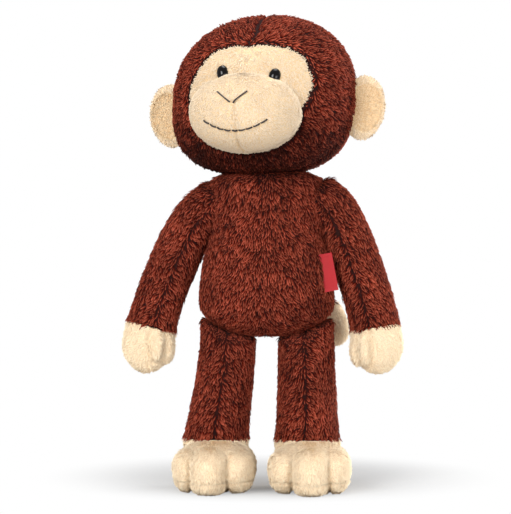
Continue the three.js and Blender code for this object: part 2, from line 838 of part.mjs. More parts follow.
function legParts(side) {
  const belowCuff = beyond(new THREE.Vector3(0, 0, cuffZ), alongZ.clone().negate(), -fit / 2);
  const belowSole = beyond(new THREE.Vector3(0, 0, soleHeight), alongZ.clone().negate(), -fit / 2);
  const aboveSole = beyond(new THREE.Vector3(0, 0, soleHeight), alongZ, -fit / 2);
  const underFloor = beyond(new THREE.Vector3(), alongZ.clone().negate());
  const leg = cut(legTop(side, 0), [legTop(side, coverWall, hidden), belowCuff]);
  const foot = cut(footForm(side), [footHollow(side, coverWall), underFloor]);
  const filling = join([
    cut(legTop(side, coverWall + fit, hidden), [belowCuff]),
    footHollow(side, coverWall + fit),
  ]);
  const name = side > 0 ? 'left' : 'right';
  return {
    [`leg_cover_${name}`]: [mirroredTo(side, leg), 'brown'],
    [`foot_upper_${name}`]: [mirroredTo(side, foot.subtract(belowSole)), 'cream'],
    [`foot_sole_${name}`]: [mirroredTo(side, foot.subtract(aboveSole)), 'cream'],
    [`leg_stuffing_${name}`]: [mirroredTo(side, filling), 'stuffing'],
  };
}

// Tail

function tailPoint([x, y, z]) {
  return tailRoot.clone().add(new THREE.Vector3(x, y, z));
}

function tailForm(inset, detail = shown) {
  const stations = [...tailCoverStations, ...tailTipStations];
  const root = moved(sphere(tailRootRadius - inset, detail), ...tailRoot.toArray());
  const length = swell({
    middle: stations.map((station) => tailPoint(station).toArray()),
    sizes: stations.map(([, , , half]) => [half, half]),
    startDome: 0,
    endDome: tailDome,
    // down and forward, which is never along the curled line
    across: new THREE.Vector3(0.3, -0.5, -0.8),
    ...tailFacets,
    squareness: 2,
  }, inset, detail);
  // the body's back, as the tail meets it at each stage of its swing
  const back = torsoForm(-fit - inset, detail);
  const backs = [0, 0.5, 1].map((share) => (
    back.translate([-tailRoot.x, -tailRoot.y, 0])
      .rotate([0, 0, -share * tailSwing])
      .translate([tailRoot.x, tailRoot.y, 0])
  ));
  return join([root, cut(length, backs)]);
}

function tailParts() {
  const [before, end] = tailCoverStations.slice(-2).map(tailPoint);
  const direction = tailPoint(tailTipStations[0]).sub(before).normalize();
  const tipward = beyond(end, direction, -fit / 2);
  const rootward = beyond(end, direction.clone().negate(), -fit / 2);
  const shell = tailForm(0).subtract(tailForm(coverWall, hidden));
  return {
    tail_cover: [shell.subtract(tipward), 'brown'],
    tail_tip: [shell.subtract(rootward), 'cream'],
    tail_stuffing: [tailForm(coverWall + 2 * fit, hidden), 'stuffing'],
  };
}

// Side label: its long edge is sewn into the seam and the rest stands out

function labelFrame() {
  return new THREE.Matrix4().makeRotationY(radians(-labelTilt)).setPosition(labelTop);
}

function sideLabel(grow) {
  const half = labelThickness / 2 + grow;
  return placed(box(
    new THREE.Vector3(-labelRoot - grow, -half, -labelLength - grow),
    new THREE.Vector3(labelWidth, half, grow),
  ), labelFrame());
}

// Torso assembly

function torsoCuts(extra, detail = shown) {
  const both = (solid) => [solid, solid.mirror([1, 0, 0])];
  const shoulder = moved(sphere(shoulderRadius + fit + extra, detail), shoulderX, 0, shoulderZ);
  const neck = moved(headEnvelope(fit + extra), headCentre.x, headCentre.y, headCentre.z);
  const tail = moved(sphere(tailRootRadius + fit + extra, detail), ...tailRoot.toArray());
  return [
    ...both(shoulder), ...both(hipSeat(fit + extra)), ...both(thighRoom(fit + extra)), neck, tail,
    sideLabel(fit + extra),
  ];
}

function torsoParts() {
  const neckTop = headCentre.z - headDrop;
  const neckHole = moved(
    cylinder(neckOpening, neckTop - 3 * coverWall, neckTop + coverWall), headCentre.x, headCentre.y, 0,
  );
  const hollow = cut(torsoForm(coverWall, hidden), torsoCuts(coverWall, hidden));
  const cover = cut(torsoForm(0), [...torsoCuts(0), hollow, neckHole]);
  const filling = cut(torsoForm(coverWall + fit, hidden), torsoCuts(coverWall + fit, hidden));
  return {
    torso_cover: [cover, 'brown'],
    torso_stuffing: [filling, 'stuffing'],
    side_label: [sideLabel(0), 'label'],
  };
}

// Putting the toy together

function finish(colour) {
  const plastic = colour === 'black';
  return new THREE.MeshStandardMaterial({
    color: colours[colour],
    roughness: plastic ? 0.15 : 0.9,
    metalness: 0,
  });
}

function group(parts) {
  const holder = new THREE.Group();
  Object.entries(parts).forEach(([name, [solid, colour]]) => {
    const mesh = new THREE.Mesh(toGeometry(solid), finish(colour));
    mesh.name = name;
    holder.add(mesh);
  });
  return holder;
}

const head = group(headParts);
head.position.copy(headCentre);
head.rotation.z = radians(-headTurn);

const toy = new THREE.Group();
toy.add(
  head, group(torsoParts()), group(armParts(1)), group(armParts(-1)),
  group(legParts(1)), group(legParts(-1)), group(tailParts()),
);

// The origin is on the floor under the middle of the toy
const extent = new THREE.Box3().setFromObject(toy);
const middle = extent.getCenter(new THREE.Vector3());
toy.position.set(-middle.x, -middle.y, -extent.min.z);

export default toy;
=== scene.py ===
# A shaggy plush monkey on a white studio floor.
# Every skin keeps the form of the toy's own part and lies a pile's depth inside it.
# The pile is made of thousands of bent, tapering tufts that lie along the nap and lean into bundles.
# Lengths are in millimetres about the toy's middle until they become mesh points, which are in metres.

import math

import bmesh
import bpy
import numpy as np
from mathutils import Matrix, Vector
from mathutils.bvhtree import BVHTree
from mathutils.kdtree import KDTree


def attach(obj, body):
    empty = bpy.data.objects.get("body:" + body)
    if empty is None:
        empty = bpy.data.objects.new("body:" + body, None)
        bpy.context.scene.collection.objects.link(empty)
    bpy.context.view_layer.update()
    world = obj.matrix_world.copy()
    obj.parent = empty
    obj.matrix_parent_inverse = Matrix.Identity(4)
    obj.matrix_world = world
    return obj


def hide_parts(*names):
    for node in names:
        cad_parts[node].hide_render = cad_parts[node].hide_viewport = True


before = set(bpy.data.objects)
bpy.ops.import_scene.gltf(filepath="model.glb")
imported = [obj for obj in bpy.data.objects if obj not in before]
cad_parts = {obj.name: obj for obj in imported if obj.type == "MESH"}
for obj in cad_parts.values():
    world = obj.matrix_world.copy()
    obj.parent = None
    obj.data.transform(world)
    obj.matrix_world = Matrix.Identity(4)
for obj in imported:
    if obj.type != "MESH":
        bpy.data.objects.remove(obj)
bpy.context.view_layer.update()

MM = 0.001
NOTHING = 1e-6
ACROSS = np.array([1.0, 0.0, 0.0])
BACK = np.array([0.0, 1.0, 0.0])
UP = np.array([0.0, 0.0, 1.0])

# Where the toy's own middle stands on the floor
TOY_PLACE = np.array([3.61, 20.04, 0.0])

# The two sides of the toy, its own left first
SIDES = {1: "left", -1: "right"}

# A distance at which no seam or hem is felt
FAR = 99.0

# The usual squareness of a form, and the upward share of a direction that is nearly upright
SQUARENESS = 2.1
NEARLY_UPRIGHT = 0.9

# How deep the skins and the filling lie under the surface of the pile
BROWN_DEPTH = 2.0
CREAM_DEPTH = 1.6
FILLING_DEPTH = 6.0

# How far a skin has to turn to the front for a front seam to run over it
TURNED_TO_FRONT = -0.1

# Head
HEAD_CENTRE = np.array([-2.1, -2.0, 311.0])
HEAD_TURN = math.radians(-8.5)
HEAD_HALF = (74.6, 61.0)
HEAD_RISE = 67.0
HEAD_DROP = 62.0
HEAD_MEAN_RADIUS = 66.0
HEAD_LEAN = 0.064
FULLNESS_ABOVE = 2.2
FULLNESS_BELOW = 2.75
HOOD_SEAM = 14.0
CROWN_SEAM_ABOVE = 5.0

# The upper face, seen from ahead. It is fuller from the cheeks down, and its left jowl is drawn in
FACE_SHIFT = 2.5
FACE_HALF_WIDTH = 46.0
FACE_FULLER = (7.5, 2.5)
CHEEK_FROM = 26.0
JOWL_FROM = 4.0
JOWL_TAPER = 7.0
FULLER_OVER = 20.0
FACE_TOP = 39.5
FACE_BOTTOM = -22.0
FACE_SQUARENESS = 3.1
FACE_NOTCH = 1.6
NOTCH_HALF_WIDTH = 3.5
FACE_EDGE = 1.05
FACE_EDGE_SOFTNESS = 0.03
TUCKED_DEPTH = 6.0
HIDDEN_FROM = 1.4
HIDDEN_OFF_SNOUT = 4.0

# How far back, in the head's frame, the face is looked for, its skin is kept and its panel is raised
FACE_SOUGHT_TO = -10.0
FACE_KEPT_TO = -12.0
FACE_RAISED_TO = -15.0

# Snout
MUZZLE_CENTRE = np.array([0.0, -63.8, -15.6])
MUZZLE_HALF = np.array([44.0, 38.0, 31.4])
MUZZLE_FULLNESS = 2.3
MUZZLE_ROUNDNESS = 2.1
CHIN_SEAM_TOP = -11.0
CHIN_SEAM_BACK = -65.0
RIM_PILE_BACK = -67.0

# Embroidery: each nose line runs from its inner to its outer end, each so far aside and so high
NOSE_SHIFT = -1.8
NOSE_INNER = (1.2, -10.0)
NOSE_OUTER = (11.5, -2.2)
NOSE_POINTS = 12
NOSE_THREAD = 0.6
NOSE_LIFT = 1.1
MOUTH_HALF_WIDTH = 25.0
MOUTH_LOW = -31.0
MOUTH_RISE = 8.5
MOUTH_STITCHES = 9
MOUTH_THREAD = 0.66
STITCH_ENDS = (0.09, 0.89)
STITCH_LIFTS = (0.35, 0.9, 1.1, 1.15, 1.15, 1.1, 0.9, 0.35)
STITCHES_BACK = -40.0
SEEN_FROM = -140.0
STITCH_CLEARING = 1.0

# Eyes: the right one stands higher, and the pile round each is left out in a clearing
EYE_SPACING = 41.0
EYE_SHIFT = 0.9
EYE_RISE = 14.2
EYE_TILT = 1.7
EYE_HALF = (4.6, 6.4)
EYE_BULGE = 4.0
EYE_ROOT = 1.2
EYE_LIFT = 0.6
EYE_CLEARING_RISE = 13.8
EYE_CLEARING_RADIUS = 3.6
EYE_CLEARING_SQUASH = 0.8

# Ears
EAR_ANGLE = math.radians(95)
EAR_HALF_HEIGHT = 26.0
EAR_REACH = 22.8
EAR_HALF_LENGTH = 0.8 * EAR_REACH
EAR_HALF_THICKNESS = 5.5
EAR_DROP = 9.5
EAR_RAISE = 2.0
EAR_LEAN = math.radians(6)
EAR_CUP_DEPTH = 4.6
EAR_CUP_MIDDLE = 6.5
EAR_CUP_HALF = (14.0, 19.0)
EAR_CURL = 2.2

# The painted shade in the ear's hollow, a tan cloth and pile: how far into the hollow it and its pile
# start, how far behind the ear's middle it may lie, and how far the skin has to turn to the front for its
# pile to grow
PAINTED_SHADE_CUP = 0.04
PAINTED_SHADE_PILE_CUP = 0.02
PAINTED_SHADE_DEPTH = -1.5
PAINTED_SHADE_TURN = 0.2

# How far out from its root the ear's pile starts, and how it runs outward: a share of that, and a length
EAR_PILE_FROM = -1.0
EAR_FLOW = (0.6, 6.0)

# Torso: x, y, height, half-width and half-depth
TORSO = [
    (0, -1, 120.5, 52, 35),
    (0, -2, 140, 54.5, 40),
    (0, -2, 163, 54.3, 42),
    (0, -1.5, 184, 51, 41),
    (0, 0, 203, 46.5, 37.5),
    (0, 1, 222, 47, 34),
    (0, 1, 240, 48, 31),
    (0, 1, 257, 44, 28),
]
TORSO_DOMES = (28, 14)
TORSO_SQUARENESS = 2.2
TORSO_SEAM_TURN = -0.2

# Arms: x, z, half-width and half-depth down to the fingertips
SHOULDER = np.array([57.0, 0.0, 221.0])
ARM = [
    (34, 236, 18.5, 19),
    (51.8, 220.7, 20, 21),
    (63.5, 201, 20.4, 21.5),
    (74, 173.8, 20.4, 20.5),
    (82.2, 147, 20.4, 19.5),
    (86, 129, 21, 19),
    (88, 112, 21.6, 18.5),
    (88.6, 90.5, 18, 16),
]
ARM_DOMES = (10, 22)
WRIST = 5
ARM_SPREAD = {1: 0.0, -1: math.radians(4)}
ARM_LONGER = {1: 1.0, -1: 1.02}
SHOULDER_RAISE = {1: 2.5, -1: 0.0}
RAISED_FROM = 200.0
RAISED_OVER = 20.0
PALM_HALF = (8.6, 11.0, 14.5)
PALM_PLACE = np.array([73.6, -3.5, 111.0])
THUMB_HALF = (6.6, 9.0, 15.5)
THUMB_PLACE = np.array([79.0, -12.5, 113.5])
ARM_SEAM_INWARD = 4.0

# Legs: height, half-width and half-depth
HIP = np.array([31.4, 0.0, 107.0])
HIP_RADIUS = 24.4
HIP_SLOPE = 0.346
LEG = [
    (32, 27.2, 26.5),
    (41.5, 26.6, 26),
    (65, 24.9, 24.8),
    (90, 23.9, 24),
    (118, 23.2, 24),
    (147, 22.8, 24),
]
LEG_FILLING = [(30, 27, 26.5), *LEG[1:5]]
LEG_FILLING_DOMES = (12, 16)
ANKLE_SHIFT = {1: 0.8, -1: 9.0}
ANKLE_HEIGHT = 41.5
CUFF_HEIGHT = 40.0
THIGH_TOP_TURN = 0.45

# Feet, measured from the middle of the heel. A lump is its half-width, its half-length, its rise above the
# widest level, how far out and how far forward it stands, and its fullness below
FOOT_OUT = {1: 3.7, -1: -1.0}
FOOT_WIDEST = 20.5
FOOT_FULLNESS = 2.1
SOLE_HEIGHT = 10.5
FLOOR_CUT = 1.5
SOLE_CLEARANCE = 1.0
PILE_CLEARANCE = 0.15
FOOT_LUMPS = [
    (32.5, 43, 21.3, 0, 14, 2.9),
    (17, 33, 17, 2, 42, 3.6),
    (16.5, 30, 15.5, -17, 30, 2.6),
    (16.5, 30, 15.5, 17, 30, 2.6),
]
TOE_GROOVE = 14.5
TOE_SHIFT = 2.0
TOE_GROOVE_TOP = 26.0
TOE_GROOVE_FADE = 0.35
TOE_GROOVE_TURN = 0.1
# How far painted shade reaches from a toe groove, and how much less of it lies along the sole's seam
GROOVE_SHADE_REACH = 1.2
SEAM_SHADE_LESS = 0.6
FOOT_FLOW = (0.4, 0.8)

# Tail: x, y, z and radius
TAIL = [
    (8, 36, 143, 9.5),
    (14.5, 49.5, 147, 10),
    (31, 57.5, 148.5, 10.4),
    (46.6, 53.5, 140, 11.2),
    (52.6, 47, 126.6, 11.8),
    (52.4, 45, 111, 10.4),
]
TAIL_DOMES = (0, 12)
TAIL_ACROSS = np.array([0.3, -0.5, -0.8])
TAIL_TIP_FROM = 3
TAIL_ROOT_RADIUS = 8.0

# Side label
LABEL_TOP = np.array([45.4, -22.3, 187.0])
LABEL_SIZE = (30.0, 7.6)
LABEL_ROOT = 5.0
LABEL_THICKNESS = 0.7
LABEL_TILT = math.radians(10.5)
LABEL_HEM = 2.2
HEM_THICKNESS = 0.22
LABEL_WAVE = 0.5
LABEL_WAVES = 1.1
LABEL_EDGE = 0.8
LABEL_THINNEST = 0.05
LABEL_STEPS = (26, 60)


def to_frame(points):
    """Points in millimetres about the toy's middle, as points of the shared frame in metres."""
    return (np.asarray(points, float) + TOY_PLACE) * MM


def from_frame(points):
    return np.asarray(points, float) / MM - TOY_PLACE


def unit(vectors):
    return vectors / np.maximum(np.linalg.norm(vectors, axis=-1, keepdims=True), NOTHING)


def power(value, exponent):
    return np.sign(value) * np.abs(value) ** exponent


# Closed forms, each a list of points and a list of faces


def skin(rings):
    """A skin over rings of points. Rings of one point are the poles, and a flat end gets its own middle."""
    rings = [np.atleast_2d(ring) for ring in rings]
    if len(rings[0]) > 1:
        rings.insert(0, rings[0].mean(axis=0, keepdims=True))
    if len(rings[-1]) > 1:
        rings.append(rings[-1].mean(axis=0, keepdims=True))
    starts = np.cumsum([0] + [len(ring) for ring in rings])
    faces = []
    for n in range(len(rings) - 1):
        low, high = starts[n], starts[n + 1]
        count = max(len(rings[n]), len(rings[n + 1]))
        for i in range(count):
            k = (i + 1) % count
            if len(rings[n]) == 1:
                faces.append((low, high + k, high + i))
            elif len(rings[n + 1]) == 1:
                faces.append((low + i, low + k, high))
            else:
                faces.append((low + i, low + k, high + k, high + i))
    return np.vstack(rings), faces


def ring(centre, u, v, half_u, half_v, squareness, sides):
    """Points round a centre on an oval along u and v. A squareness of 2 is a true oval."""
    angle = np.linspace(0, 2 * np.pi, sides, endpoint=False)[:, None]
    along_u = half_u * power(np.cos(angle), 2 / squareness) * u
    along_v = half_v * power(np.sin(angle), 2 / squareness) * v
    return centre + along_u + along_v


def egg(half_x, half_y, up, down, above=2.0, below=2.0, sides=64, rows=40):
    """An egg about the origin, with its own fullness above and below its widest level."""
    rings = []
    for angle in np.linspace(-np.pi / 2, np.pi / 2, rows + 1):
        fullness, height = (below, down) if angle < 0 else (above, up)
        z = height * power(math.sin(angle), 2 / fullness)
        share = max(math.cos(angle), 0) ** (2 / fullness)
        if share < NOTHING:
            rings.append(z * UP)
        else:
            rings.append(ring(z * UP, ACROSS, BACK, half_x * share, half_y * share, SQUARENESS, sides))
    return skin(rings)


def smooth_rows(rows, each=24):
    """Rows of numbers along a smooth curve through the given ones, spaced by the root of their distance."""
    rows = np.array(rows, float)
    ends = [2 * rows[0] - rows[1], *rows, 2 * rows[-1] - rows[-2]]
    found = []
    for a, b, c, d in zip(ends, ends[1:], ends[2:], ends[3:]):
        gaps = [math.sqrt(np.linalg.norm((q - p)[:3])) for p, q in ((a, b), (b, c), (c, d))]
        first = (b - a) / gaps[0] - (c - a) / (gaps[0] + gaps[1]) + (c - b) / gaps[1]
        last = (c - b) / gaps[1] - (d - b) / (gaps[1] + gaps[2]) + (d - c) / gaps[2]
        first, last = first * gaps[1], last * gaps[1]
        for t in np.arange(each) / each:
            found.append(
                (2 * t**3 - 3 * t**2 + 1) * b
                + (t**3 - 2 * t**2 + t) * first
                + (3 * t**2 - 2 * t**3) * c
                + (t**3 - t**2) * last
            )
    return np.array([*found, rows[-1]])


def dome_share(distance, dome):
    if dome <= 0 or distance >= dome:
        return 1.0
    return math.sqrt(max(0.0, 1 - (1 - distance / dome) ** 2))


# How far before and after a place the middle line is looked at for its direction there
TANGENT_STEP = 0.5


def swell(stations, start_dome, end_dome, across, inset=0.0, squareness=SQUARENESS, sides=64, rows=56):
    """A form that swells and tapers along its middle line, round at any end that has a dome.
    A station is x, y, z, half-width and half-depth."""
    line = smooth_rows(stations)
    travelled = np.concatenate([[0], np.cumsum(np.linalg.norm(np.diff(line[:, :3], axis=0), axis=1))])
    start = inset if start_dome else 0.0
    end = travelled[-1] - (inset if end_dome else 0.0)
    rings = []
    for share in (1 - np.cos(np.linspace(0, np.pi, rows + 1))) / 2:
        distance = start + (end - start) * share
        row = np.array([np.interp(distance, travelled, column) for column in line.T])
        ahead = np.array([np.interp(distance + TANGENT_STEP, travelled, column) for column in line.T[:3]])
        behind = np.array([np.interp(distance - TANGENT_STEP, travelled, column) for column in line.T[:3]])
        tangent = unit(ahead - behind)
        u = unit(across - (across @ tangent) * tangent)
        v = np.cross(tangent, u)
        dome = dome_share(distance - start, start_dome - inset) if start_dome else 1.0
        dome *= dome_share(end - distance, end_dome - inset) if end_dome else 1.0
        if dome < NOTHING:
            rings.append(row[:3])
        else:
            half_u, half_v = (row[3:] - inset) * dome
            rings.append(ring(row[:3], u, v, half_u, half_v, squareness, sides))
    return skin(rings)


def tube(points, radius, sides=10):
    """A round thread along a line of points."""
    points = np.array(points, float)
    tangents = unit(np.gradient(points, axis=0))
    rings = [points[0]]
    for point, tangent in zip(points, tangents):
        u = unit(np.cross(tangent, UP if abs(tangent[2]) < NEARLY_UPRIGHT else BACK))
        rings.append(ring(point, u, np.cross(tangent, u), radius, radius, 2.0, sides))
    return skin([*rings, points[-1]])


def shifted(form, offset):
    return form[0] + np.asarray(offset, float), form[1]


def mirrored(form, side):
    """The form itself on the left, and its mirror image on the right."""
    if side > 0:
        return form
    return form[0] * np.array([-1.0, 1.0, 1.0]), [face[::-1] for face in form[1]]


# Meshes from forms


def joined(forms):
    """Several forms as one."""
    points, faces, count = [], [], 0
    for form_points, form_faces in forms:
        points.append(form_points)
        faces += [tuple(i + count for i in face) for face in form_faces]
        count += len(form_points)
    return np.vstack(points), faces


def linked(name, data):
    """A new object of the scene."""
    obj = bpy.data.objects.new(name, data)
    bpy.context.scene.collection.objects.link(obj)
    return obj


def shade_smooth(mesh):
    mesh.polygons.foreach_set("use_smooth", np.ones(len(mesh.polygons), bool))


def mesh_object(name, form, material=None, place=to_frame):
    mesh = bpy.data.meshes.new(name)
    mesh.from_pydata(place(form[0]).tolist(), [], form[1])
    mesh.update()
    shade_smooth(mesh)
    if material:
        mesh.materials.append(material)
    return linked(name, mesh)


def softened(obj, rounds, voxel=None):
    """Smooths the object's mesh, first made new in voxels where a size is given for them."""
    if voxel:
        remesh = obj.modifiers.new("remesh", "REMESH")
        remesh.mode = "VOXEL"
        remesh.voxel_size = voxel * MM
    smooth = obj.modifiers.new("smooth", "SMOOTH")
    smooth.factor = 0.5
    smooth.iterations = rounds
    graph = bpy.context.evaluated_depsgraph_get()
    mesh = bpy.data.meshes.new_from_object(obj.evaluated_get(graph))
    mesh.name = obj.name
    old = obj.data
    obj.modifiers.clear()
    obj.data = mesh
    bpy.data.meshes.remove(old)
    shade_smooth(mesh)


def soft(name, forms, material, voxel, rounds, place=to_frame):
    """One stuffed skin over overlapping forms, with soft valleys where they meet."""
    obj = mesh_object(name, joined(forms), place=place)
    softened(obj, rounds, voxel)
    obj.data.materials.append(material)
    return obj


def points_of(obj):
    found = np.empty(len(obj.data.vertices) * 3)
    obj.data.vertices.foreach_get("co", found)
    return from_frame(found.reshape(-1, 3))


def normals_of(obj):
    found = np.empty(len(obj.data.vertices) * 3, np.float32)
    obj.data.vertices.foreach_get("normal", found)
    return found.reshape(-1, 3).astype(float)


def set_points(obj, points):
    obj.data.vertices.foreach_set("co", to_frame(points).ravel())
    obj.data.update()


def tree_of(obj):
    """The object's faces, ready for a search of the nearest one or of the first one ahead."""
    faces = [tuple(face.vertices) for face in obj.data.polygons]
    return BVHTree.FromPolygons([Vector(point) for point in points_of(obj)], faces)


def sliced(obj, point, normal):
    """Cuts away what lies beyond a plane and closes the cut."""
    work = bmesh.new()
    work.from_mesh(obj.data)
    found = bmesh.ops.bisect_plane(
        work,
        geom=[*work.verts, *work.edges, *work.faces],
        plane_co=Vector(to_frame(point)),
        plane_no=Vector(normal),
        clear_outer=True,
    )
    edges = [e for e in found["geom_cut"] if isinstance(e, bmesh.types.BMEdge)]
    bmesh.ops.holes_fill(work, edges=edges)
    work.to_mesh(obj.data)
    work.free()
    obj.data.update()


def without(obj, unwanted):
    """Takes away the points that are marked, with their faces."""
    work = bmesh.new()
    work.from_mesh(obj.data)
    found = [vertex for vertex, away in zip(work.verts, unwanted) if away]
    bmesh.ops.delete(work, geom=found, context="VERTS")
    work.to_mesh(obj.data)
    work.free()


def pressed(obj, distance, depth, width):
    """Draws the skin in along a seam. distance says how far a point is from the seam's line."""
    points, normals = points_of(obj), normals_of(obj)
    share = np.exp(-((distance(points, normals) / width) ** 2))
    set_points(obj, points - normals * (depth * share)[:, None])


def piece(obj, body, replaced=()):
    """Gives a piece its body and the parts that it stands for."""
    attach(obj, body)
    if replaced:
        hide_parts(*replaced)


# Shader nodes


def srgb(red, green, blue):
    """A colour as it is read from a picture, from 0 to 255, in the linear values that shaders take."""
    shares = np.array([red, green, blue]) / 255
    linear = np.where(shares <= 0.04045, shares / 12.92, ((shares + 0.055) / 1.055) ** 2.4)
    return (*linear.tolist(), 1.0)


class Look:
    """A material whose nodes are added and joined one by one."""

    def __init__(self, name):
        self.material = bpy.data.materials.new(name)
        self.material.use_nodes = True
        self.nodes = self.material.node_tree.nodes
        self.links = self.material.node_tree.links
        self.shader = self.nodes["Principled BSDF"]
        self.output = self.nodes["Material Output"]

    def add(self, kind, settings=None, **inputs):
        node = self.nodes.new("ShaderNode" + kind)
        for key, value in (settings or {}).items():
            setattr(node, key, value)
        for key, value in inputs.items():
            self.feed(node.inputs[key.replace("_", " ")], value)
        return node

    def feed(self, socket, value):
        if isinstance(value, bpy.types.NodeSocket):
            self.links.new(value, socket)
        else:
            socket.default_value = value

    def set(self, **inputs):
        for key, value in inputs.items():
            self.feed(self.shader.inputs[key.replace("_", " ")], value)
        return self

    def maths(self, operation, first, second=0.0, third=0.0):
        node = self.nodes.new("ShaderNodeMath")
        node.operation = operation
        for socket, value in zip(node.inputs, (first, second, third)):
            self.feed(socket, value)
        return node.outputs[0]

    def ramp(self, factor, *stops):
        """A blend of colours, each given with its place from 0 to 1 and as it is read from a picture."""
        node = self.nodes.new("ShaderNodeValToRGB")
        elements = node.color_ramp.elements
        while len(elements) < len(stops):
            elements.new(0.5)
        for element, (position, colour) in zip(elements, stops):
            element.position = position
            element.color = srgb(*colour)
        self.feed(node.inputs["Fac"], factor)
        return node.outputs["Color"]

    def scaled(self, colour, amount):
        """A colour times a grey amount."""
        node = self.add("VectorMath", {"operation": "SCALE"})
        self.feed(node.inputs[0], colour)
        self.feed(node.inputs["Scale"], amount)
        return node.outputs["Vector"]

    def noise(self, scale, detail=3.0, stretch=None, distortion=0.0):
        coordinates = self.place()
        if stretch:
            mapping = self.add("Mapping", Vector=coordinates, Scale=stretch)
            coordinates = mapping.outputs["Vector"]
        node = self.add("TexNoise", Vector=coordinates, Scale=scale, Detail=detail, Distortion=distortion)
        return node.outputs["Fac"]

    def place(self):
        return self.nodes.new("ShaderNodeTexCoord").outputs["Object"]

    def value(self, name):
        """A value that each point of the mesh has of its own."""
        return self.add("Attribute", {"attribute_name": name}).outputs["Fac"]

    def bump(self, height, distance, strength, below=None):
        node = self.add("Bump", Height=height, Distance=distance, Strength=strength)
        if below is not None:
            self.feed(node.inputs["Normal"], below)
        return node.outputs["Normal"]


# The strands within a tuft: how fast they follow on each other across it, and how much they differ
STRAND_TURN = 13.0
STRAND_CONTRAST = 0.07

# Where along a tuft its middle colour is
MIDDLE_AT = 0.3


def pile_look(name, root, middle, tip, darkest, lightest, edge):
    """The tufts, whose points know their tone and how far along and across they are. Their dark root colour
    is painted shade deep in the pile, and edge says how much darker they are at their edges, painted shade
    on their rounded sides."""
    look = Look(name)
    across = look.value("across")
    colour = look.ramp(look.value("along"), (0.0, root), (MIDDLE_AT, middle), (1.0, tip))
    tone = look.add("MapRange", Value=look.value("tone"), To_Min=darkest, To_Max=lightest)
    # rim darkens a tuft towards its edges: painted shade on its rounded sides
    rim = look.maths("MULTIPLY", across, across)
    strands = look.maths("SINE", look.maths("MULTIPLY", across, STRAND_TURN))
    brightness = look.maths("MULTIPLY", tone.outputs["Result"], look.maths("MULTIPLY_ADD", rim, -edge, 1.0))
    stranded = look.maths("MULTIPLY_ADD", strands, STRAND_CONTRAST, 1.0)
    look.set(
        Base_Color=look.scaled(colour, look.maths("MULTIPLY", brightness, stranded)),
        Roughness=0.7,
        Specular_IOR_Level=0.04,
        Normal=look.bump(strands, 0.0002, 0.6),
    )
    return look.material


def cloth_look(name, low, high, sheen=0.0):
    """The short backing pile that shows between the tufts, in its own colour darkened with painted shade,
    as it lies in the shade down between them.
    """
    look = Look(name)
    fine = look.noise(1400.0, 2.0)
    broad = look.maths("MULTIPLY", look.noise(90.0), 0.35)
    mixed = look.maths("MULTIPLY_ADD", fine, 0.65, broad)
    look.set(
        Base_Color=look.ramp(mixed, (0.35, low), (0.65, high)),
        Roughness=0.85,
        Specular_IOR_Level=0.15,
        Sheen_Weight=sheen,
        Sheen_Roughness=0.5,
        Normal=look.bump(fine, 0.0012, 0.9, look.bump(look.noise(350.0, 2.0), 0.0015, 0.5)),
    )
    return look.material


def plastic_look(name, colour, wear, least_rough, rougher, **settings):
    """A plain plastic with some wear, which is the scale and the detail of the noise in its roughness."""
    look = Look(name)
    roughness = look.maths("MULTIPLY_ADD", look.noise(*wear), rougher, least_rough)
    look.set(Base_Color=srgb(*colour), Roughness=roughness, **settings)
    return look.material


def fibre_look(name, fibres, low, high, relief, strength, **settings):
    """Fibres in two colours. fibres says how their noise is made."""
    look = Look(name)
    noise = look.noise(**fibres)
    look.set(Base_Color=look.ramp(noise, low, high), Normal=look.bump(noise, relief, strength), **settings)
    return look.material


def label_look():
    """Satin-woven tape, with close threads along it and bare of any lettering."""
    look = Look("woven_label_red")
    coordinates = look.place()

    def threads(direction, scale):
        settings = {"wave_type": "BANDS", "bands_direction": direction}
        wave = look.add("TexWave", settings, Vector=coordinates, Scale=scale, Distortion=0.4, Detail=1.0)
        return wave.outputs["Fac"]

    warp = look.maths("MULTIPLY_ADD", threads("X", 330.0), 0.5, 0.5)
    weave = look.maths("MULTIPLY", threads("Z", 420.0), warp)
    look.set(
        Base_Color=look.ramp(weave, (0.0, (120, 6, 14)), (1.0, (184, 18, 28))),
        Roughness=0.55,
        Specular_IOR_Level=0.3,
        Sheen_Weight=0.1,
        Normal=look.bump(weave, 0.00025, 0.6),
    )
    return look.material


# Each pile has its colours at the root, in the middle and at the tip, and its darkest and lightest tone.
# The dark roots are painted shade deep in the pile
BROWN_PILE = pile_look("brown_pile", (12, 1, 0), (86, 20, 8), (173, 84, 62), 0.18, 1.7, edge=0.9)
CREAM_PILE = pile_look("cream_pile", (220, 182, 138), (242, 217, 184), (253, 234, 208), 0.8, 1.1, edge=0.17)
# The paws' pile is a copy of the cream pile made lighter with painted light
PAINTED_LIGHT_PAW_PILE = pile_look("paw_pile_painted_light", (244, 212, 168), (250, 226, 190), (254, 237, 208), 0.9, 1.08, edge=0.1)
# The tan pile is painted shade in the hollows of the ears
EAR_CUP_SHADE_PILE = pile_look("tan_pile_painted_shade", (218, 172, 122), (244, 212, 168), (252, 228, 192), 0.84, 1.05, edge=0.17)
# The backing cloths are darker partly by their own colour and partly by painted shade between the tufts
BROWN_CLOTH = cloth_look("brown_cloth", (14, 4, 2), (50, 16, 10))
CREAM_CLOTH = cloth_look("cream_cloth", (206, 172, 130), (232, 208, 172))
# The paws' cloth is a copy of the cream cloth made lighter with painted light
PAINTED_LIGHT_PAW_CLOTH = cloth_look("paw_cloth_painted_light", (230, 198, 156), (250, 230, 200))
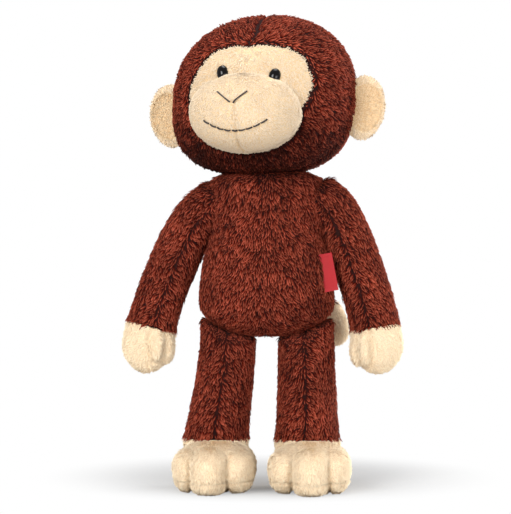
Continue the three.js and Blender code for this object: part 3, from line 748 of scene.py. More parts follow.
# The tan cloth is painted shade in the hollows of the ears
EAR_CUP_SHADE_CLOTH = cloth_look("tan_cloth_painted_shade", (208, 166, 118), (234, 204, 162), sheen=0.05)
EYE = plastic_look("black_gloss_plastic", (7, 5, 5), (600.0, 4.0), 0.1, 0.05, Specular_IOR_Level=0.22)
WASHER = plastic_look("washer_plastic", (235, 234, 226), (500.0, 3.0), 0.35, 0.2)
THREAD = fibre_look(
    "stitching_thread", dict(scale=1.0, detail=2.0, stretch=(2600.0, 900.0, 2600.0)),
    (0.35, (14, 7, 5)), (0.7, (44, 22, 15)), relief=0.0003, strength=0.8,
    Roughness=0.55, Sheen_Weight=0.1,
)
FILLING = fibre_look(
    "white_fibre_filling", dict(scale=260.0, detail=6.0, distortion=1.5),
    (0.3, (214, 214, 208)), (0.7, (250, 250, 248)), relief=0.003, strength=0.7,
    Roughness=0.95, Sheen_Weight=0.4,
)
LABEL = label_look()


# Growing the pile

# The brown pile is shaggy and the cream one is plush. A style is the length and the width of a tuft, the
# spacing of the roots, the rows of points of a tuft, the angles in degrees at which it stands up at its
# root and its tip, how many tufts make a bundle, and how far single ones stray from the nap
SHAGGY = dict(length=5.0, width=1.2, spacing=1.08, rows=3, lift=(30, 6), bundle=6.0, stray=0.12)
PLUSH = dict(length=3.0, width=1.1, spacing=0.9, rows=2, lift=(42, 12), bundle=5.0, stray=0.25)

# How many places are tried for each square of the spacing
TRIES = 2.2

# Between which shares of the usual the tufts and the bundles differ
LENGTH_SHARES = (0.7, 1.2)
WIDTH_SHARES = (0.7, 1.25)
RISE_SHARES = (0.65, 1.3)
BUNDLE_LENGTH_SHARES = (0.85, 1.15)

# How much a tuft curls and how far it leans to its bundle, which it does most at its tip
CURL = 0.3
LEAN = 0.3
LEAN_CURVE = 1.5

# How deep in the skin a tuft starts
ROOT_DEPTH = 0.4

# How full a tuft is along its length, and how high its crest is for its half-width
FULLNESS_AT = (0.0, 0.35, 0.7, 1.0)
FULLNESS = (0.75, 1.0, 0.78, 0.0)
CREST = 0.8

# How far the nap and the tone wander, and over which length
NAP_WAVE = (0.3, 24.0)
TONE_WAVE = (0.12, 40.0)
WAVE_SUM = 6
WAVE_PEAK = 3.5
TONE_SPREAD = 0.17
BUNDLE_TONE_SPREAD = 0.3

# At a hem, how far the tufts reach over it, how much more they stand up and how far from it that is felt
HEM_OVERHANG = (1.5, 5.5)
HEM_FLARE = 30.0
HEM_REACH = 2.5

# The room under a hem for the fringe of the pile above it
FRINGE = 0.6

# A parting: how far its seam is left bare, and how far and how much the nap is brushed away from it
PARTING_HALF_WIDTH = 0.1
PARTING_REACH = 7.0
PARTING = (0.5, 0.6)

# How much the pile leans away from the middle of the torso, a foot and the face, and over which distance
BODY_LEAN = (0.5, 12.0)
FACE_LEAN = (0.6, 9.0)

# How much painted light lifts the tone of the pile of the feet and of the tail's tip
PAW_PAINTED_LIGHT = 0.35

# How many points along the tail's middle line its pile takes its direction from, to either side
TAIL_NAP_STEP = 2


def nearest_tree(points):
    tree = KDTree(len(points))
    for i, point in enumerate(points):
        tree.insert(point, i)
    tree.balance()
    return tree


def scattered(obj, spacing, random):
    """Random places on a skin, none nearer to another than the spacing, each with its normal."""
    mesh = obj.data
    mesh.calc_loop_triangles()
    corners = np.empty(len(mesh.loop_triangles) * 3, np.int32)
    mesh.loop_triangles.foreach_get("vertices", corners)
    corners = corners.reshape(-1, 3)
    points, normals = points_of(obj), normals_of(obj)
    a, b, c = (points[corner] for corner in corners.T)
    area = np.linalg.norm(np.cross(b - a, c - a), axis=1) / 2
    total = area.sum()
    picked = random.choice(len(area), int(TRIES * total / spacing**2), p=area / total)
    r, s = random.random((2, len(picked), 1))
    flip = r + s > 1
    r, s = np.where(flip, 1 - r, r), np.where(flip, 1 - s, s)
    chosen = corners[picked].T
    weights = (1 - r - s, r, s)
    found = sum(weight * points[corner] for weight, corner in zip(weights, chosen))
    facing = unit(sum(weight * normals[corner] for weight, corner in zip(weights, chosen)))
    tree = nearest_tree(found)
    kept = np.ones(len(found), bool)
    for i, point in enumerate(found):
        if kept[i]:
            for _, k, _ in tree.find_range(point, spacing):
                if k > i:
                    kept[k] = False
    return found[kept], facing[kept]


def bundled(points, size, random):
    """For each root, the middle of the bundle that it leans to, and that bundle's own random number."""
    count = max(1, int(len(points) / size))
    middles = points[random.choice(len(points), count, replace=False)]
    tree = nearest_tree(middles)
    nearest = np.array([tree.find(point)[1] for point in points])
    return middles[nearest], random.random(count)[nearest]


def waves(points, size, length, seed):
    """A soft value of about the given size, up or down, that changes slowly over the toy."""
    random = np.random.default_rng(seed)
    total = np.zeros(len(points))
    for _ in range(WAVE_SUM):
        direction = unit(random.normal(size=3)) / length
        total += np.sin(points @ direction * 2 * np.pi + random.random() * 2 * np.pi)
    return size * total / WAVE_PEAK


def along_skin(vectors, normals):
    return vectors - (vectors * normals).sum(1, keepdims=True) * normals


def pile(name, skin_object, material, nap, seed, length, width, spacing, rows, lift, bundle, stray,
         keep=None, hem=None, shade=None):
    """Tufts over a skin. nap gives the way they lie, keep tells where they grow, hem how far above a hem
    they are, where they stand up and are cut short, and shade how much darker they are painted, as painted
    shade, or where it is below 0 how much lighter, as painted light."""
    random = np.random.default_rng(seed)
    roots, normals = scattered(skin_object, spacing, random)
    if keep:
        kept = keep(roots, normals)
        roots, normals = roots[kept], normals[kept]
    count = len(roots)
    middles, bundle_value = bundled(roots, bundle, random)
    pull = LEAN * along_skin(middles - roots, normals)
    flow = unit(along_skin(nap(roots, normals), normals))
    side = np.cross(normals, flow)
    turn = random.normal(0, stray, count) + waves(roots, *NAP_WAVE, seed)
    bend = random.normal(0, CURL, count)
    reach = length * random.uniform(*LENGTH_SHARES, count)
    reach *= np.interp(bundle_value, (0, 1), BUNDLE_LENGTH_SHARES)
    flare = np.zeros(count)
    if hem:
        to_hem = hem(roots)
        limit = np.where(to_hem > 0, to_hem + random.uniform(*HEM_OVERHANG, count), np.inf)
        reach = np.minimum(reach, limit)
        flare = HEM_FLARE * np.exp(-np.abs(to_hem) / HEM_REACH)
    half = width / 2 * random.uniform(*WIDTH_SHARES, count)
    raised = random.uniform(*RISE_SHARES, count)

    point = roots - normals * ROOT_DEPTH
    points = []
    for step in range(rows):
        along = step / rows
        heading = (turn + bend * along)[:, None]
        ahead = flow * np.cos(heading) + side * np.sin(heading)
        centre = point + pull * along**LEAN_CURVE
        half_here = (half * np.interp(along, FULLNESS_AT, FULLNESS))[:, None]
        out = np.cross(normals, ahead) * half_here
        points += [centre - out, centre + normals * half_here * CREST, centre + out]
        angle = np.radians(np.interp(step, (0, rows - 1), lift) + flare)[:, None]
        stride = (reach / rows)[:, None]
        point = point + stride * (ahead * np.cos(angle) + normals * np.sin(angle) * raised[:, None])
    points.append(point + pull)
    points = np.stack(points, axis=1).reshape(-1, 3)
    points[:, 2] = np.maximum(points[:, 2], PILE_CLEARANCE)

    tone = 0.5 + TONE_SPREAD * random.normal(size=count) + BUNDLE_TONE_SPREAD * (bundle_value - 0.5)
    tone += waves(roots, *TONE_WAVE, seed + 1)
    if shade:
        tone -= shade(roots)
    return tuft_mesh(name, points, rows, np.clip(tone, 0.0, 1.0), material)


def tuft_mesh(name, points, rows, tone, material):
    """Each tuft is rows of three points, edge, crest and edge, that end in one point at the tip."""
    each = 3 * rows + 1
    count = len(points) // each
    faces = []
    for row in range(rows - 1):
        for k in (3 * row, 3 * row + 1):
            faces.append((k, k + 1, k + 4, k + 3))
    faces += [(each - 4, each - 3, each - 1), (each - 3, each - 2, each - 1)]
    corners = np.concatenate(faces)
    sizes = np.tile([len(face) for face in faces], count)
    mesh = bpy.data.meshes.new(name)
    mesh.vertices.add(len(points))
    mesh.vertices.foreach_set("co", to_frame(points).ravel())
    loops = (corners + each * np.arange(count)[:, None]).ravel()
    mesh.loops.add(len(loops))
    mesh.loops.foreach_set("vertex_index", loops)
    mesh.polygons.add(len(sizes))
    mesh.polygons.foreach_set("loop_start", np.cumsum(sizes) - sizes)
    shade_smooth(mesh)
    values = {
        "tone": np.repeat(tone, each),
        "along": np.tile([*np.repeat(np.arange(rows) / rows, 3), 1.0], count),
        "across": np.tile([*([-1.0, 0.0, 1.0] * rows), 0.0], count),
    }
    for key, value in values.items():
        mesh.attributes.new(key, "FLOAT", "POINT").data.foreach_set("value", value)
    mesh.update(calc_edges=True)
    mesh.validate()
    mesh.materials.append(material)
    return linked(name, mesh)


def grow(name, skin_object, body, material, nap, seed, **choices):
    """A pile in its material's style, but for what is its own, as a piece of the toy."""
    style, slot = (SHAGGY, "brown_pile") if material == BROWN_PILE else (PLUSH, "cream_pile")
    piece(pile(name, skin_object, material, nap, seed, **{**style, **choices}), body)


# Where a pile grows, and how it lies


def clear_of(*skins, margin):
    """A test for the places on a skin that don't lie deeper than the margin inside other skins."""
    trees = [tree_of(other) for other in skins]

    def keep(points, _normals):
        kept = np.ones(len(points), bool)
        for tree in trees:
            for i, point in enumerate(points):
                if kept[i]:
                    near, normal, _, _ = tree.find_nearest(point)
                    kept[i] = (Vector(point) - near).dot(normal) > -margin
        return kept

    return keep


def all_of(*tests):
    def keep(points, normals):
        kept = np.ones(len(points), bool)
        for test in tests:
            kept[kept] = test(points[kept], normals[kept])
        return kept

    return keep


def past_hem(distance):
    """Leaves room under a hem for the fringe of the pile above it."""
    return lambda points, _normals: distance(points) < -FRINGE


def to_cuff(points):
    return points[:, 2] - CUFF_HEIGHT


def below_hip(_points, normals):
    """Leaves out the top of the thigh, which turns against the torso and has a shorter pile."""
    return normals[:, 2] < THIGH_TOP_TURN


def opposite(test):
    return lambda points, normals: ~test(points, normals)


def front_only(distance, normals, turned=TURNED_TO_FRONT):
    """The distance from a seam that runs down the front only."""
    return np.where(normals[:, 1] < turned, np.abs(distance), FAR)


def away_from_middle(aside, size, over):
    """A lean to the side that a place lies on, which grows over some millimetres beside the middle."""
    return size * np.tanh(aside / over)[:, None] * ACROSS


def parted(aside, down):
    """A front seam's distance, a test that leaves it bare, and a nap down the limb, brushed away from it.
    aside tells how far beside the seam a point is."""

    def from_seam(points, normals):
        return front_only(aside(points), normals)

    def off_seam(points, normals):
        return from_seam(points, normals) > PARTING_HALF_WIDTH

    def nap(points, _normals):
        beside = aside(points)
        strength = PARTING[0] + PARTING[1] * np.exp(-((beside / PARTING_REACH) ** 2))
        return down + (np.tanh(beside) * strength)[:, None] * ACROSS

    return from_seam, off_seam, nap


# The head's own frame

HEAD_MATRIX = np.array(Matrix.Rotation(HEAD_TURN, 3, "Z"))


def head_to_toy(points):
    return points @ HEAD_MATRIX.T + HEAD_CENTRE


def toy_to_head(points):
    return (points - HEAD_CENTRE) @ HEAD_MATRIX


def head_place(points):
    return to_frame(head_to_toy(points))


def in_head(function):
    """Lets a function of places in the head's own frame be asked about places of the toy."""
    return lambda points, *_normals: function(toy_to_head(points))


def head_egg(inset):
    """The hood's form, which leans a little to the toy's left towards the crown."""
    half_x, half_y, up, down = np.array([*HEAD_HALF, HEAD_RISE, HEAD_DROP]) - inset
    points, faces = egg(half_x, half_y, up, down, FULLNESS_ABOVE, FULLNESS_BELOW, sides=96, rows=64)
    points[:, 0] += HEAD_LEAN * points[:, 2]
    return points, faces


def from_crown(local):
    """How far to the left of the crown's seam a point of the head is."""
    return local[:, 0] - HEAD_LEAN * local[:, 2]


def share_below(z, start, over):
    """From 0 at a height to 1 at some way below it."""
    return np.clip((start - z) / over, 0, 1)


def face_outline(local):
    """Below 1 inside the outline of the upper face, seen from ahead."""
    x, z = local[:, 0], local[:, 2]
    right_side, left_side = FACE_FULLER
    cheek = right_side * share_below(z, CHEEK_FROM, FULLER_OVER)
    jowl = left_side - JOWL_TAPER * share_below(z, JOWL_FROM, FULLER_OVER)
    fuller = np.where(x < FACE_SHIFT, cheek, jowl)
    top = FACE_TOP - FACE_NOTCH * np.exp(-((x / NOTCH_HALF_WIDTH) ** 2))
    share_x = np.abs(x - FACE_SHIFT) / (FACE_HALF_WIDTH + fuller)
    share_z = np.abs(np.where(z > 0, z / top, z / FACE_BOTTOM))
    return share_x**FACE_SQUARENESS + share_z**FACE_SQUARENESS


def in_muzzle(local, grow):
    """Below 1 inside the snout's form, grown by some millimetres."""
    shares = np.abs(local - MUZZLE_CENTRE) / (MUZZLE_HALF + grow)
    return (shares**MUZZLE_ROUNDNESS).sum(1)


def face_form():
    """The head's form, tucked deep inside the hood but for the face, which comes up to its pile."""
    points, faces = head_egg(0.0)
    past_edge = (face_outline(points) - FACE_EDGE) / FACE_EDGE_SOFTNESS
    raised = (points[:, 1] < FACE_RAISED_TO) / (1 + np.exp(np.clip(past_edge, -50, 50)))
    inset = TUCKED_DEPTH - (TUCKED_DEPTH - CREAM_DEPTH) * raised
    return points * (1 - inset[:, None] / HEAD_MEAN_RADIUS), faces


def muzzle_form():
    half_x, half_y, half_z = MUZZLE_HALF - CREAM_DEPTH
    points, faces = egg(half_x, half_z, half_y, half_y, MUZZLE_FULLNESS, MUZZLE_FULLNESS, sides=80, rows=56)
    return points[:, [0, 2, 1]] * (1.0, -1.0, 1.0) + MUZZLE_CENTRE, faces


def build_hood():
    hood = mesh_object("head_hood", head_egg(BROWN_DEPTH), BROWN_CLOTH, head_place)

    @in_head
    def from_crown_seam(local):
        return np.where(local[:, 2] > FACE_TOP + CROWN_SEAM_ABOVE, np.abs(from_crown(local)), FAR)

    @in_head
    def from_side_seam(local):
        return local[:, 1] + HOOD_SEAM

    pressed(hood, from_crown_seam, depth=1.6, width=2.0)
    pressed(hood, from_side_seam, depth=1.4, width=2.2)
    piece(hood, "head", ["head_cover"])
    return hood


def build_face():
    """The upper face and the snout as one soft skin, without what the hood hides."""
    face = soft("face", [face_form(), muzzle_form()], CREAM_CLOTH, voxel=1.3, rounds=8, place=head_place)
    local = toy_to_head(points_of(face))
    under_hood = (face_outline(local) > HIDDEN_FROM) & (in_muzzle(local, HIDDEN_OFF_SNOUT) > 1)
    without(face, under_hood | (local[:, 1] > FACE_KEPT_TO))

    @in_head
    def from_chin_seam(local):
        x, y, z = local.T
        return np.where(y < CHIN_SEAM_BACK, np.hypot(x, np.maximum(0, z - CHIN_SEAM_TOP)), FAR)

    pressed(face, from_chin_seam, depth=2.0, width=1.6)
    piece(face, "head", ["face_panel", "muzzle_cover"])
    return face


# The head's pile, by the outline of the face, which is 1 at its edge
HOOD_HEM = 0.95
HOOD_PILE_FROM = 0.96
HOOD_TURNED_FROM = 0.97
TURN_LOST_OVER = 0.12
BESIDE_FACE = 0.2
FACE_RIM_FROM = 0.86
FACE_PILE_TO = 1.1
FACE_OUTWARD_FROM = 0.35
FACE_OUTWARD_OVER = 0.5

# How far outside the snout's form its pile ends and the rim of the face begins
SNOUT_MARGIN = 1.0
RIM_MARGIN = 1.5

# The pile of the face runs outward from a point so far under the middle of the head
FACE_FLOW_LOWER = 6.0

# How much painted shade darkens the head's pile and painted light lightens it beside the face, and from
# which height and over how much of it
CHIN_SHADE = 0.5
CHIN_SHADE_FROM = -12.0
CHIN_SHADE_OVER = 28.0
BESIDE_FACE_PAINTED_LIGHT = 0.35
FACE_SHADE = 0.5
MOUTH_SHADE = 0.35
MOUTH_SHADE_FROM = -22.0
MOUTH_SHADE_OVER = 22.0

# How far outward, back and down the hood's pile lies, from how far under the middle of the head it runs
# outward, and how it is parted at the crown, from front to back
HOOD_FLOW = (0.75, 0.55, 0.5)
HOOD_FLOW_LOWER = 5.0
CROWN_PARTING_REACH = 16.0
CROWN_PARTING_AT = (-20, 20)
CROWN_PARTING = (0.7, 0.3)


@in_head
def hood_nap(local):
    """Towards the face at its edge, then back over the crown and down the cheeks, parted at the crown."""
    x, y, z = local.T
    level = np.zeros(len(local))
    out = unit(np.stack([x, level, z + HOOD_FLOW_LOWER], axis=1))
    aside = from_crown(local)
    part = np.sign(aside) * np.exp(-np.abs(aside) / CROWN_PARTING_REACH) * (z > 0)
    part *= np.interp(y, CROWN_PARTING_AT, CROWN_PARTING)
    outward, back, down = HOOD_FLOW
    flow = outward * out + back * BACK - down * UP + part[:, None] * ACROSS
    along_face = np.sign(x)[:, None] * np.stack([out[:, 2], level, -out[:, 0]], axis=1)
    past_edge = np.maximum(face_outline(local) - HOOD_TURNED_FROM, 0)
    turn = (np.pi * np.exp(-past_edge / TURN_LOST_OVER) * (y < FACE_SOUGHT_TO))[:, None]
    return (flow * np.cos(turn) + along_face * np.sin(turn)) @ HEAD_MATRIX.T


@in_head
def hood_shade(local):
    """Painted shade darkens the pile under the chin, and painted light lightens it beside the face, where
    the face's rim shades it.
    """
    under_chin = share_below(local[:, 2], CHIN_SHADE_FROM, CHIN_SHADE_OVER) * (local[:, 1] < 0)
    from_edge = (face_outline(local) - 1.0) / BESIDE_FACE
    beside_face = np.exp(-(from_edge**2)) * (local[:, 1] < FACE_SOUGHT_TO)
    return CHIN_SHADE * under_chin - BESIDE_FACE_PAINTED_LIGHT * beside_face


@in_head
def hood_shows(local):
    on_panel = (face_outline(local) < HOOD_PILE_FROM) & (local[:, 1] < FACE_SOUGHT_TO)
    return ~on_panel & (in_muzzle(local, SNOUT_MARGIN) > 1)


@in_head
def to_face(local):
    """How far the hood's pile is from the edge of the face, which is a hem to it."""
    return np.where(local[:, 1] < FACE_SOUGHT_TO, (face_outline(local) - HOOD_HEM) * FACE_HALF_WIDTH, FAR)


@in_head
def face_nap(local):
    """Down from the middle of the face, and outward over the hood beside its edge."""
    x, _, z = local.T
    near_edge = np.clip((face_outline(local) - FACE_OUTWARD_FROM) / FACE_OUTWARD_OVER, 0, 1)[:, None]
    out = unit(np.stack([x - FACE_SHIFT, np.zeros(len(local)), z + FACE_FLOW_LOWER], axis=1))
    down = away_from_middle(x, *FACE_LEAN) - UP
    return (out * near_edge + down * (1 - near_edge)) @ HEAD_MATRIX.T


@in_head
def face_shade(local):
    """Painted shade makes the pile of the face a little darker than that of the paws, most of all under the
    mouth.
    """
    return FACE_SHADE + MOUTH_SHADE * share_below(local[:, 2], MOUTH_SHADE_FROM, MOUTH_SHADE_OVER)


@in_head
def face_rim(local):
    """The rim of the face, whose longer pile lies over the hood."""
    past_muzzle = (in_muzzle(local, RIM_MARGIN) > 1) | (local[:, 1] > RIM_PILE_BACK)
    return (face_outline(local) > FACE_RIM_FROM) & past_muzzle


@in_head
def face_shows(local):
    return (face_outline(local) <= FACE_PILE_TO) | (in_muzzle(local, SNOUT_MARGIN) <= 1)


# Eyes and embroidery


def on_face(x, z):
    """A point of the upper face and the way that it looks."""
    width, depth, rise = np.array([*HEAD_HALF, HEAD_RISE]) - CREAM_DEPTH
    level = (1 - (z / rise) ** FULLNESS_ABOVE) ** (1 / FULLNESS_ABOVE)
    y = -depth * level * math.sqrt(1 - (x / (width * level)) ** 2)
    return np.array([x, y, z]), unit(np.array([x / width**2, y / depth**2, z / rise**2]))


def build_eye(side, name):
    point, normal = on_face(side * EYE_SPACING / 2 + EYE_SHIFT, EYE_RISE - EYE_TILT * side)
    dome, faces = egg(*EYE_HALF, EYE_BULGE, EYE_ROOT, sides=48, rows=32)
    turn = np.array(Vector(UP).rotation_difference(Vector(normal)).to_matrix())
    form = (dome @ turn.T + point + normal * EYE_LIFT, faces)
    obj = mesh_object(f"eye_dome_{name}", form, EYE, head_place)
    piece(obj, "head", [f"eye_{name}"])


def ahead_of_face(tree, x, z, lift):
    """The skin's point straight ahead of a place on the face, lifted off the skin, in the head's frame."""
    start = Vector(head_to_toy(np.array([x, SEEN_FROM, z])))
    hit, normal, _, _ = tree.ray_cast(start, Vector(HEAD_MATRIX @ BACK))
    return toy_to_head(np.array(hit)) + np.array(normal) @ HEAD_MATRIX * lift


def build_nose(tree, side, name):
    """One satin line of the two that meet in a V."""
    inner, outer = ((NOSE_SHIFT + side * x, z) for x, z in (NOSE_INNER, NOSE_OUTER))
    line = [ahead_of_face(tree, x, z, NOSE_LIFT) for x, z in np.linspace(inner, outer, NOSE_POINTS)]
    obj = mesh_object(f"nose_{name}", tube(line, NOSE_THREAD), THREAD, head_place)
    piece(obj, "head", [f"nose_stitch_{name}"])


def build_mouth(tree):
    """A curved row of back stitches, each of which dips into the skin at its ends."""
    stitches = []
    for n in range(MOUTH_STITCHES):
        start, end = (n + np.array(STITCH_ENDS)) / MOUTH_STITCHES * 2 - 1
        shares = np.linspace(start, end, len(STITCH_LIFTS))
        line = [ahead_of_face(tree, share * MOUTH_HALF_WIDTH, MOUTH_LOW + MOUTH_RISE * share**2, lift)
                for share, lift in zip(shares, STITCH_LIFTS)]
        stitches.append(tube(line, MOUTH_THREAD))
    mouth = mesh_object("mouth", joined(stitches), THREAD, head_place)
    piece(mouth, "head", ["mouth_stitch"])


@in_head
def clear_of_stitches(local):
    """Leaves the embroidered lines and the eyes clear of pile."""
    x, y, z = local.T
    from_mouth = np.abs(z - MOUTH_LOW - MOUTH_RISE * (x / MOUTH_HALF_WIDTH) ** 2)
    from_mouth += 2 * np.maximum(0, np.abs(x) - MOUTH_HALF_WIDTH)
    (inner, low), (outer, high) = NOSE_INNER, NOSE_OUTER
    aside = np.abs(x - NOSE_SHIFT)
    from_nose = np.abs(z - low - (high - low) * np.clip((aside - inner) / (outer - inner), 0, 1))
    from_nose += 2 * np.maximum(0, aside - outer)
    up = (z - EYE_CLEARING_RISE) * EYE_CLEARING_SQUASH
    out = [x - side * EYE_SPACING / 2 - EYE_SHIFT for side in SIDES]
    from_eyes = np.hypot(out, up) - EYE_CLEARING_RADIUS
    clear = np.minimum.reduce([from_mouth, from_nose, *from_eyes])
    return (clear > STITCH_CLEARING) | (y > STITCHES_BACK)


def build_head(torso):
    """The hood, the face, the eyes and the embroidery. The hood is given back."""
    hood = build_hood()
    face = build_face()
    tree = tree_of(face)
    build_mouth(tree)
    for side, name in SIDES.items():
        build_nose(tree, side, name)
        build_eye(side, name)
    grow("head_shag", hood, "head", BROWN_PILE, hood_nap, seed=11, hem=to_face, shade=hood_shade,
         keep=all_of(hood_shows, clear_of(torso, margin=2.0)), length=4.8, width=1.25, spacing=1.1)
    grow("face_pile", face, "head", CREAM_PILE, face_nap, seed=12, shade=face_shade,
         keep=all_of(face_shows, clear_of_stitches), length=2.5, lift=(34, 8))
    grow("face_rim_pile", face, "head", CREAM_PILE, face_nap, seed=14, shade=face_shade,
         keep=all_of(face_shows, face_rim), length=4.0, spacing=1.0, lift=(38, 4))
    return hood


# Ears


def ear_frame(side):
    """The ear's root on the hood, and its own axes: outward, through its thickness and up."""
    angle = EAR_ANGLE * side
    out = np.array([math.sin(angle), -math.cos(angle), 0.0])
    centre = out / math.hypot(out[0] / HEAD_HALF[0], out[1] / HEAD_HALF[1])
    centre[2] = -EAR_DROP + side * EAR_RAISE
    up = np.array(Matrix.Rotation(-EAR_LEAN, 3, Vector(np.cross(out, UP))) @ Vector(UP))
    outward = unit(out - (out @ up) * up)
    return centre, np.stack([outward, np.cross(up, outward), up], axis=1)


def ear_cup(local):
    """Above 0 in the hollow of the ear."""
    half_x, half_z = EAR_CUP_HALF
    return 1 - ((local[:, 0] - EAR_CUP_MIDDLE) / half_x) ** 2 - (local[:, 2] / half_z) ** 2


def ear_form(forward):
    """A flat egg with a hollow, whose rim curls forward a little, as it does on an ear sewn on pinched."""
    depth = CREAM_DEPTH / 2
    half_height = EAR_HALF_HEIGHT - depth
    points, faces = egg(EAR_HALF_LENGTH - depth, EAR_HALF_THICKNESS - depth, half_height, half_height,
                        sides=96, rows=64)
    points[:, 0] += EAR_REACH - EAR_HALF_LENGTH
    in_front = points[:, 1] * forward > 0
    sunk = EAR_CUP_DEPTH * np.sqrt(np.clip(ear_cup(points), 0, 1)) * in_front
    curled = EAR_CURL * np.clip(points[:, 0] / EAR_REACH, 0, 1) ** 2
    points[:, 1] += forward * (curled - sunk)
    return points, faces


def build_ear(side, name):
    """The ear's skin with painted shade in its hollow, as darker tan cloth and pile, and the pile of both.
    """
    body = f"ear_flap_{name}"
    forward = -side
    centre, axes = ear_frame(side)
    points, faces = ear_form(forward)
    skin_object = mesh_object(f"{body}_skin", (points @ axes.T + centre, faces), CREAM_CLOTH, head_place)
    softened(skin_object, rounds=5)
    cup, depth = ear_cup(points), points[:, 1] * forward
    # The faces in the front of the hollow take the tan cloth, painted shade
    in_cup = np.array([cup[list(face)].mean() > PAINTED_SHADE_CUP for face in faces])
    in_front = np.array([depth[list(face)].mean() > PAINTED_SHADE_DEPTH for face in faces])
    skin_object.data.materials.append(EAR_CUP_SHADE_CLOTH)
    skin_object.data.polygons.foreach_set("material_index", (in_cup & in_front).astype(np.int32))
    piece(skin_object, body, [f"ear_{name}"])

    def to_ear(places):
        return (toy_to_head(places) - centre) @ axes

    def nap(places, _normals):
        x, _, z = to_ear(places).T
        outward = EAR_FLOW[0] * x + EAR_FLOW[1]
        return np.stack([outward, np.zeros(len(x)), z], axis=1) @ axes.T @ HEAD_MATRIX.T

    def outside_head(places, _normals):
        return to_ear(places)[:, 0] > EAR_PILE_FROM

    def cupped(places, normals):
        ahead = (normals @ HEAD_MATRIX @ axes)[:, 1] * forward
        return (ear_cup(to_ear(places)) > PAINTED_SHADE_PILE_CUP) & (ahead > PAINTED_SHADE_TURN)

    grow(f"ear_pile_{name}", skin_object, body, CREAM_PILE, nap, seed=310 + side,
         keep=all_of(outside_head, opposite(cupped)), length=2.2)
    # The hollow's pile is the tan one, painted shade
    grow(f"ear_cup_painted_shade_{name}", skin_object, body, EAR_CUP_SHADE_PILE, nap, seed=315 + side,
         keep=all_of(outside_head, cupped), length=2.2)


# Torso


def torso_form(inset, **fineness):
    return swell(TORSO, *TORSO_DOMES, ACROSS, inset, squareness=TORSO_SQUARENESS, **fineness)


def build_torso():
    form = torso_form(BROWN_DEPTH, sides=80, rows=72)
    torso = soft("torso_skin", [form], BROWN_CLOTH, voxel=1.8, rounds=6)

    def from_seam(points, normals):
        return front_only(points[:, 0], normals, turned=TORSO_SEAM_TURN)

    pressed(torso, from_seam, depth=0.5, width=1.8)
    piece(torso, "torso", ["torso_cover"])
    return torso


def torso_nap(points, _normals):
    """Down, and a little away from the middle."""
    return away_from_middle(points[:, 0], *BODY_LEAN) - UP


# Arms


def arm_place(side, place):
    """A place of the left arm as it is on this side's arm, before that is mirrored."""
    turn = np.array(Matrix.Rotation(-ARM_SPREAD[side], 3, "Y"))
    return turn @ (place - SHOULDER) + SHOULDER


def arm_stations(side):
    """The arm's stations, from the shoulder, which stands higher on the left, to the fingertips."""
    rows = []
    for x, z, half_width, half_depth in ARM:
        place = SHOULDER + (np.array([x, 0.0, z]) - SHOULDER) * ARM_LONGER[side]
        place = arm_place(side, place)
        place[2] += SHOULDER_RAISE[side] * np.clip((z - RAISED_FROM) / RAISED_OVER, 0, 1)
        rows.append((*place, half_width, half_depth))
    return rows


def mitt_forms(side, rows):
    """The end of the arm, with a lobe for the palm and one for the thumb."""
    forms = [swell(rows, *ARM_DOMES, ACROSS, CREAM_DEPTH)]
    for half, place in ((PALM_HALF, PALM_PLACE), (THUMB_HALF, THUMB_PLACE)):
        half_x, half_y, half_z = np.array(half) - CREAM_DEPTH
        forms.append(shifted(egg(half_x, half_y, half_z, half_z), arm_place(side, place)))
    return forms


def build_arm(side, name, torso):
    """The sleeve and the mitt with their pile. The sleeve is given back."""
    body = f"arm_{name}"
    rows = arm_stations(side)
    flip = np.array([side, 1.0, 1.0])
    line = smooth_rows(rows)[:, :3] * flip
    thumb = arm_place(side, THUMB_PLACE) * flip
    above, wrist, below = (np.array(row[:3]) * flip for row in rows[WRIST - 1:WRIST + 2])
    down = unit(below - above)

    def aside(points):
        """How far out a point is from the front seam, which runs a little inward of the arm's middle."""
        seam = np.interp(-points[:, 2], -line[:, 2], line[:, 0]) - side * ARM_SEAM_INWARD
        return points[:, 0] - seam

    def from_thumb_fold(points, normals):
        shares = (points - thumb)[:, [0, 2]] / (THUMB_HALF[0], THUMB_HALF[2])
        return front_only((np.hypot(*shares.T) - 1) * THUMB_HALF[0], normals)

    def to_wrist(points):
        return (wrist - points) @ down

    from_seam, off_seam, nap = parted(aside, down)
    sleeve_form = swell(rows, *ARM_DOMES, ACROSS, BROWN_DEPTH)
    sleeve = soft(f"{body}_sleeve", [mirrored(sleeve_form, side)], BROWN_CLOTH, voxel=1.6, rounds=5)
    sliced(sleeve, wrist, down)
    pressed(sleeve, from_seam, depth=1.6, width=2.0)
    piece(sleeve, body, [f"arm_cover_{name}"])
    grow(f"{body}_shag", sleeve, body, BROWN_PILE, nap, seed=20 + side, hem=to_wrist,
         keep=all_of(off_seam, clear_of(torso, margin=3.0)))

    forms = [mirrored(form, side) for form in mitt_forms(side, rows)]
    mitt = soft(f"{body}_mitt", forms, PAINTED_LIGHT_PAW_CLOTH, voxel=1.2, rounds=5)
    sliced(mitt, wrist, -down)
    pressed(mitt, from_thumb_fold, depth=1.6, width=1.2)
    piece(mitt, body, [f"hand_{name}"])
    grow(f"hand_{name}_pile", mitt, body, PAINTED_LIGHT_PAW_PILE, nap, seed=30 + side, hem=to_wrist,
         keep=past_hem(to_wrist))
    return sleeve


# Legs and feet


def leg_middle(side, z):
    """How far out the leg's middle line is at a height, before it is mirrored."""
    return HIP[0] + ANKLE_SHIFT[side] * np.maximum(0, (HIP[2] - z) / (HIP[2] - ANKLE_HEIGHT))


def leg_stations(side, rows=LEG):
    return [(leg_middle(side, z), 0, z, half_width, half_depth) for z, half_width, half_depth in rows]


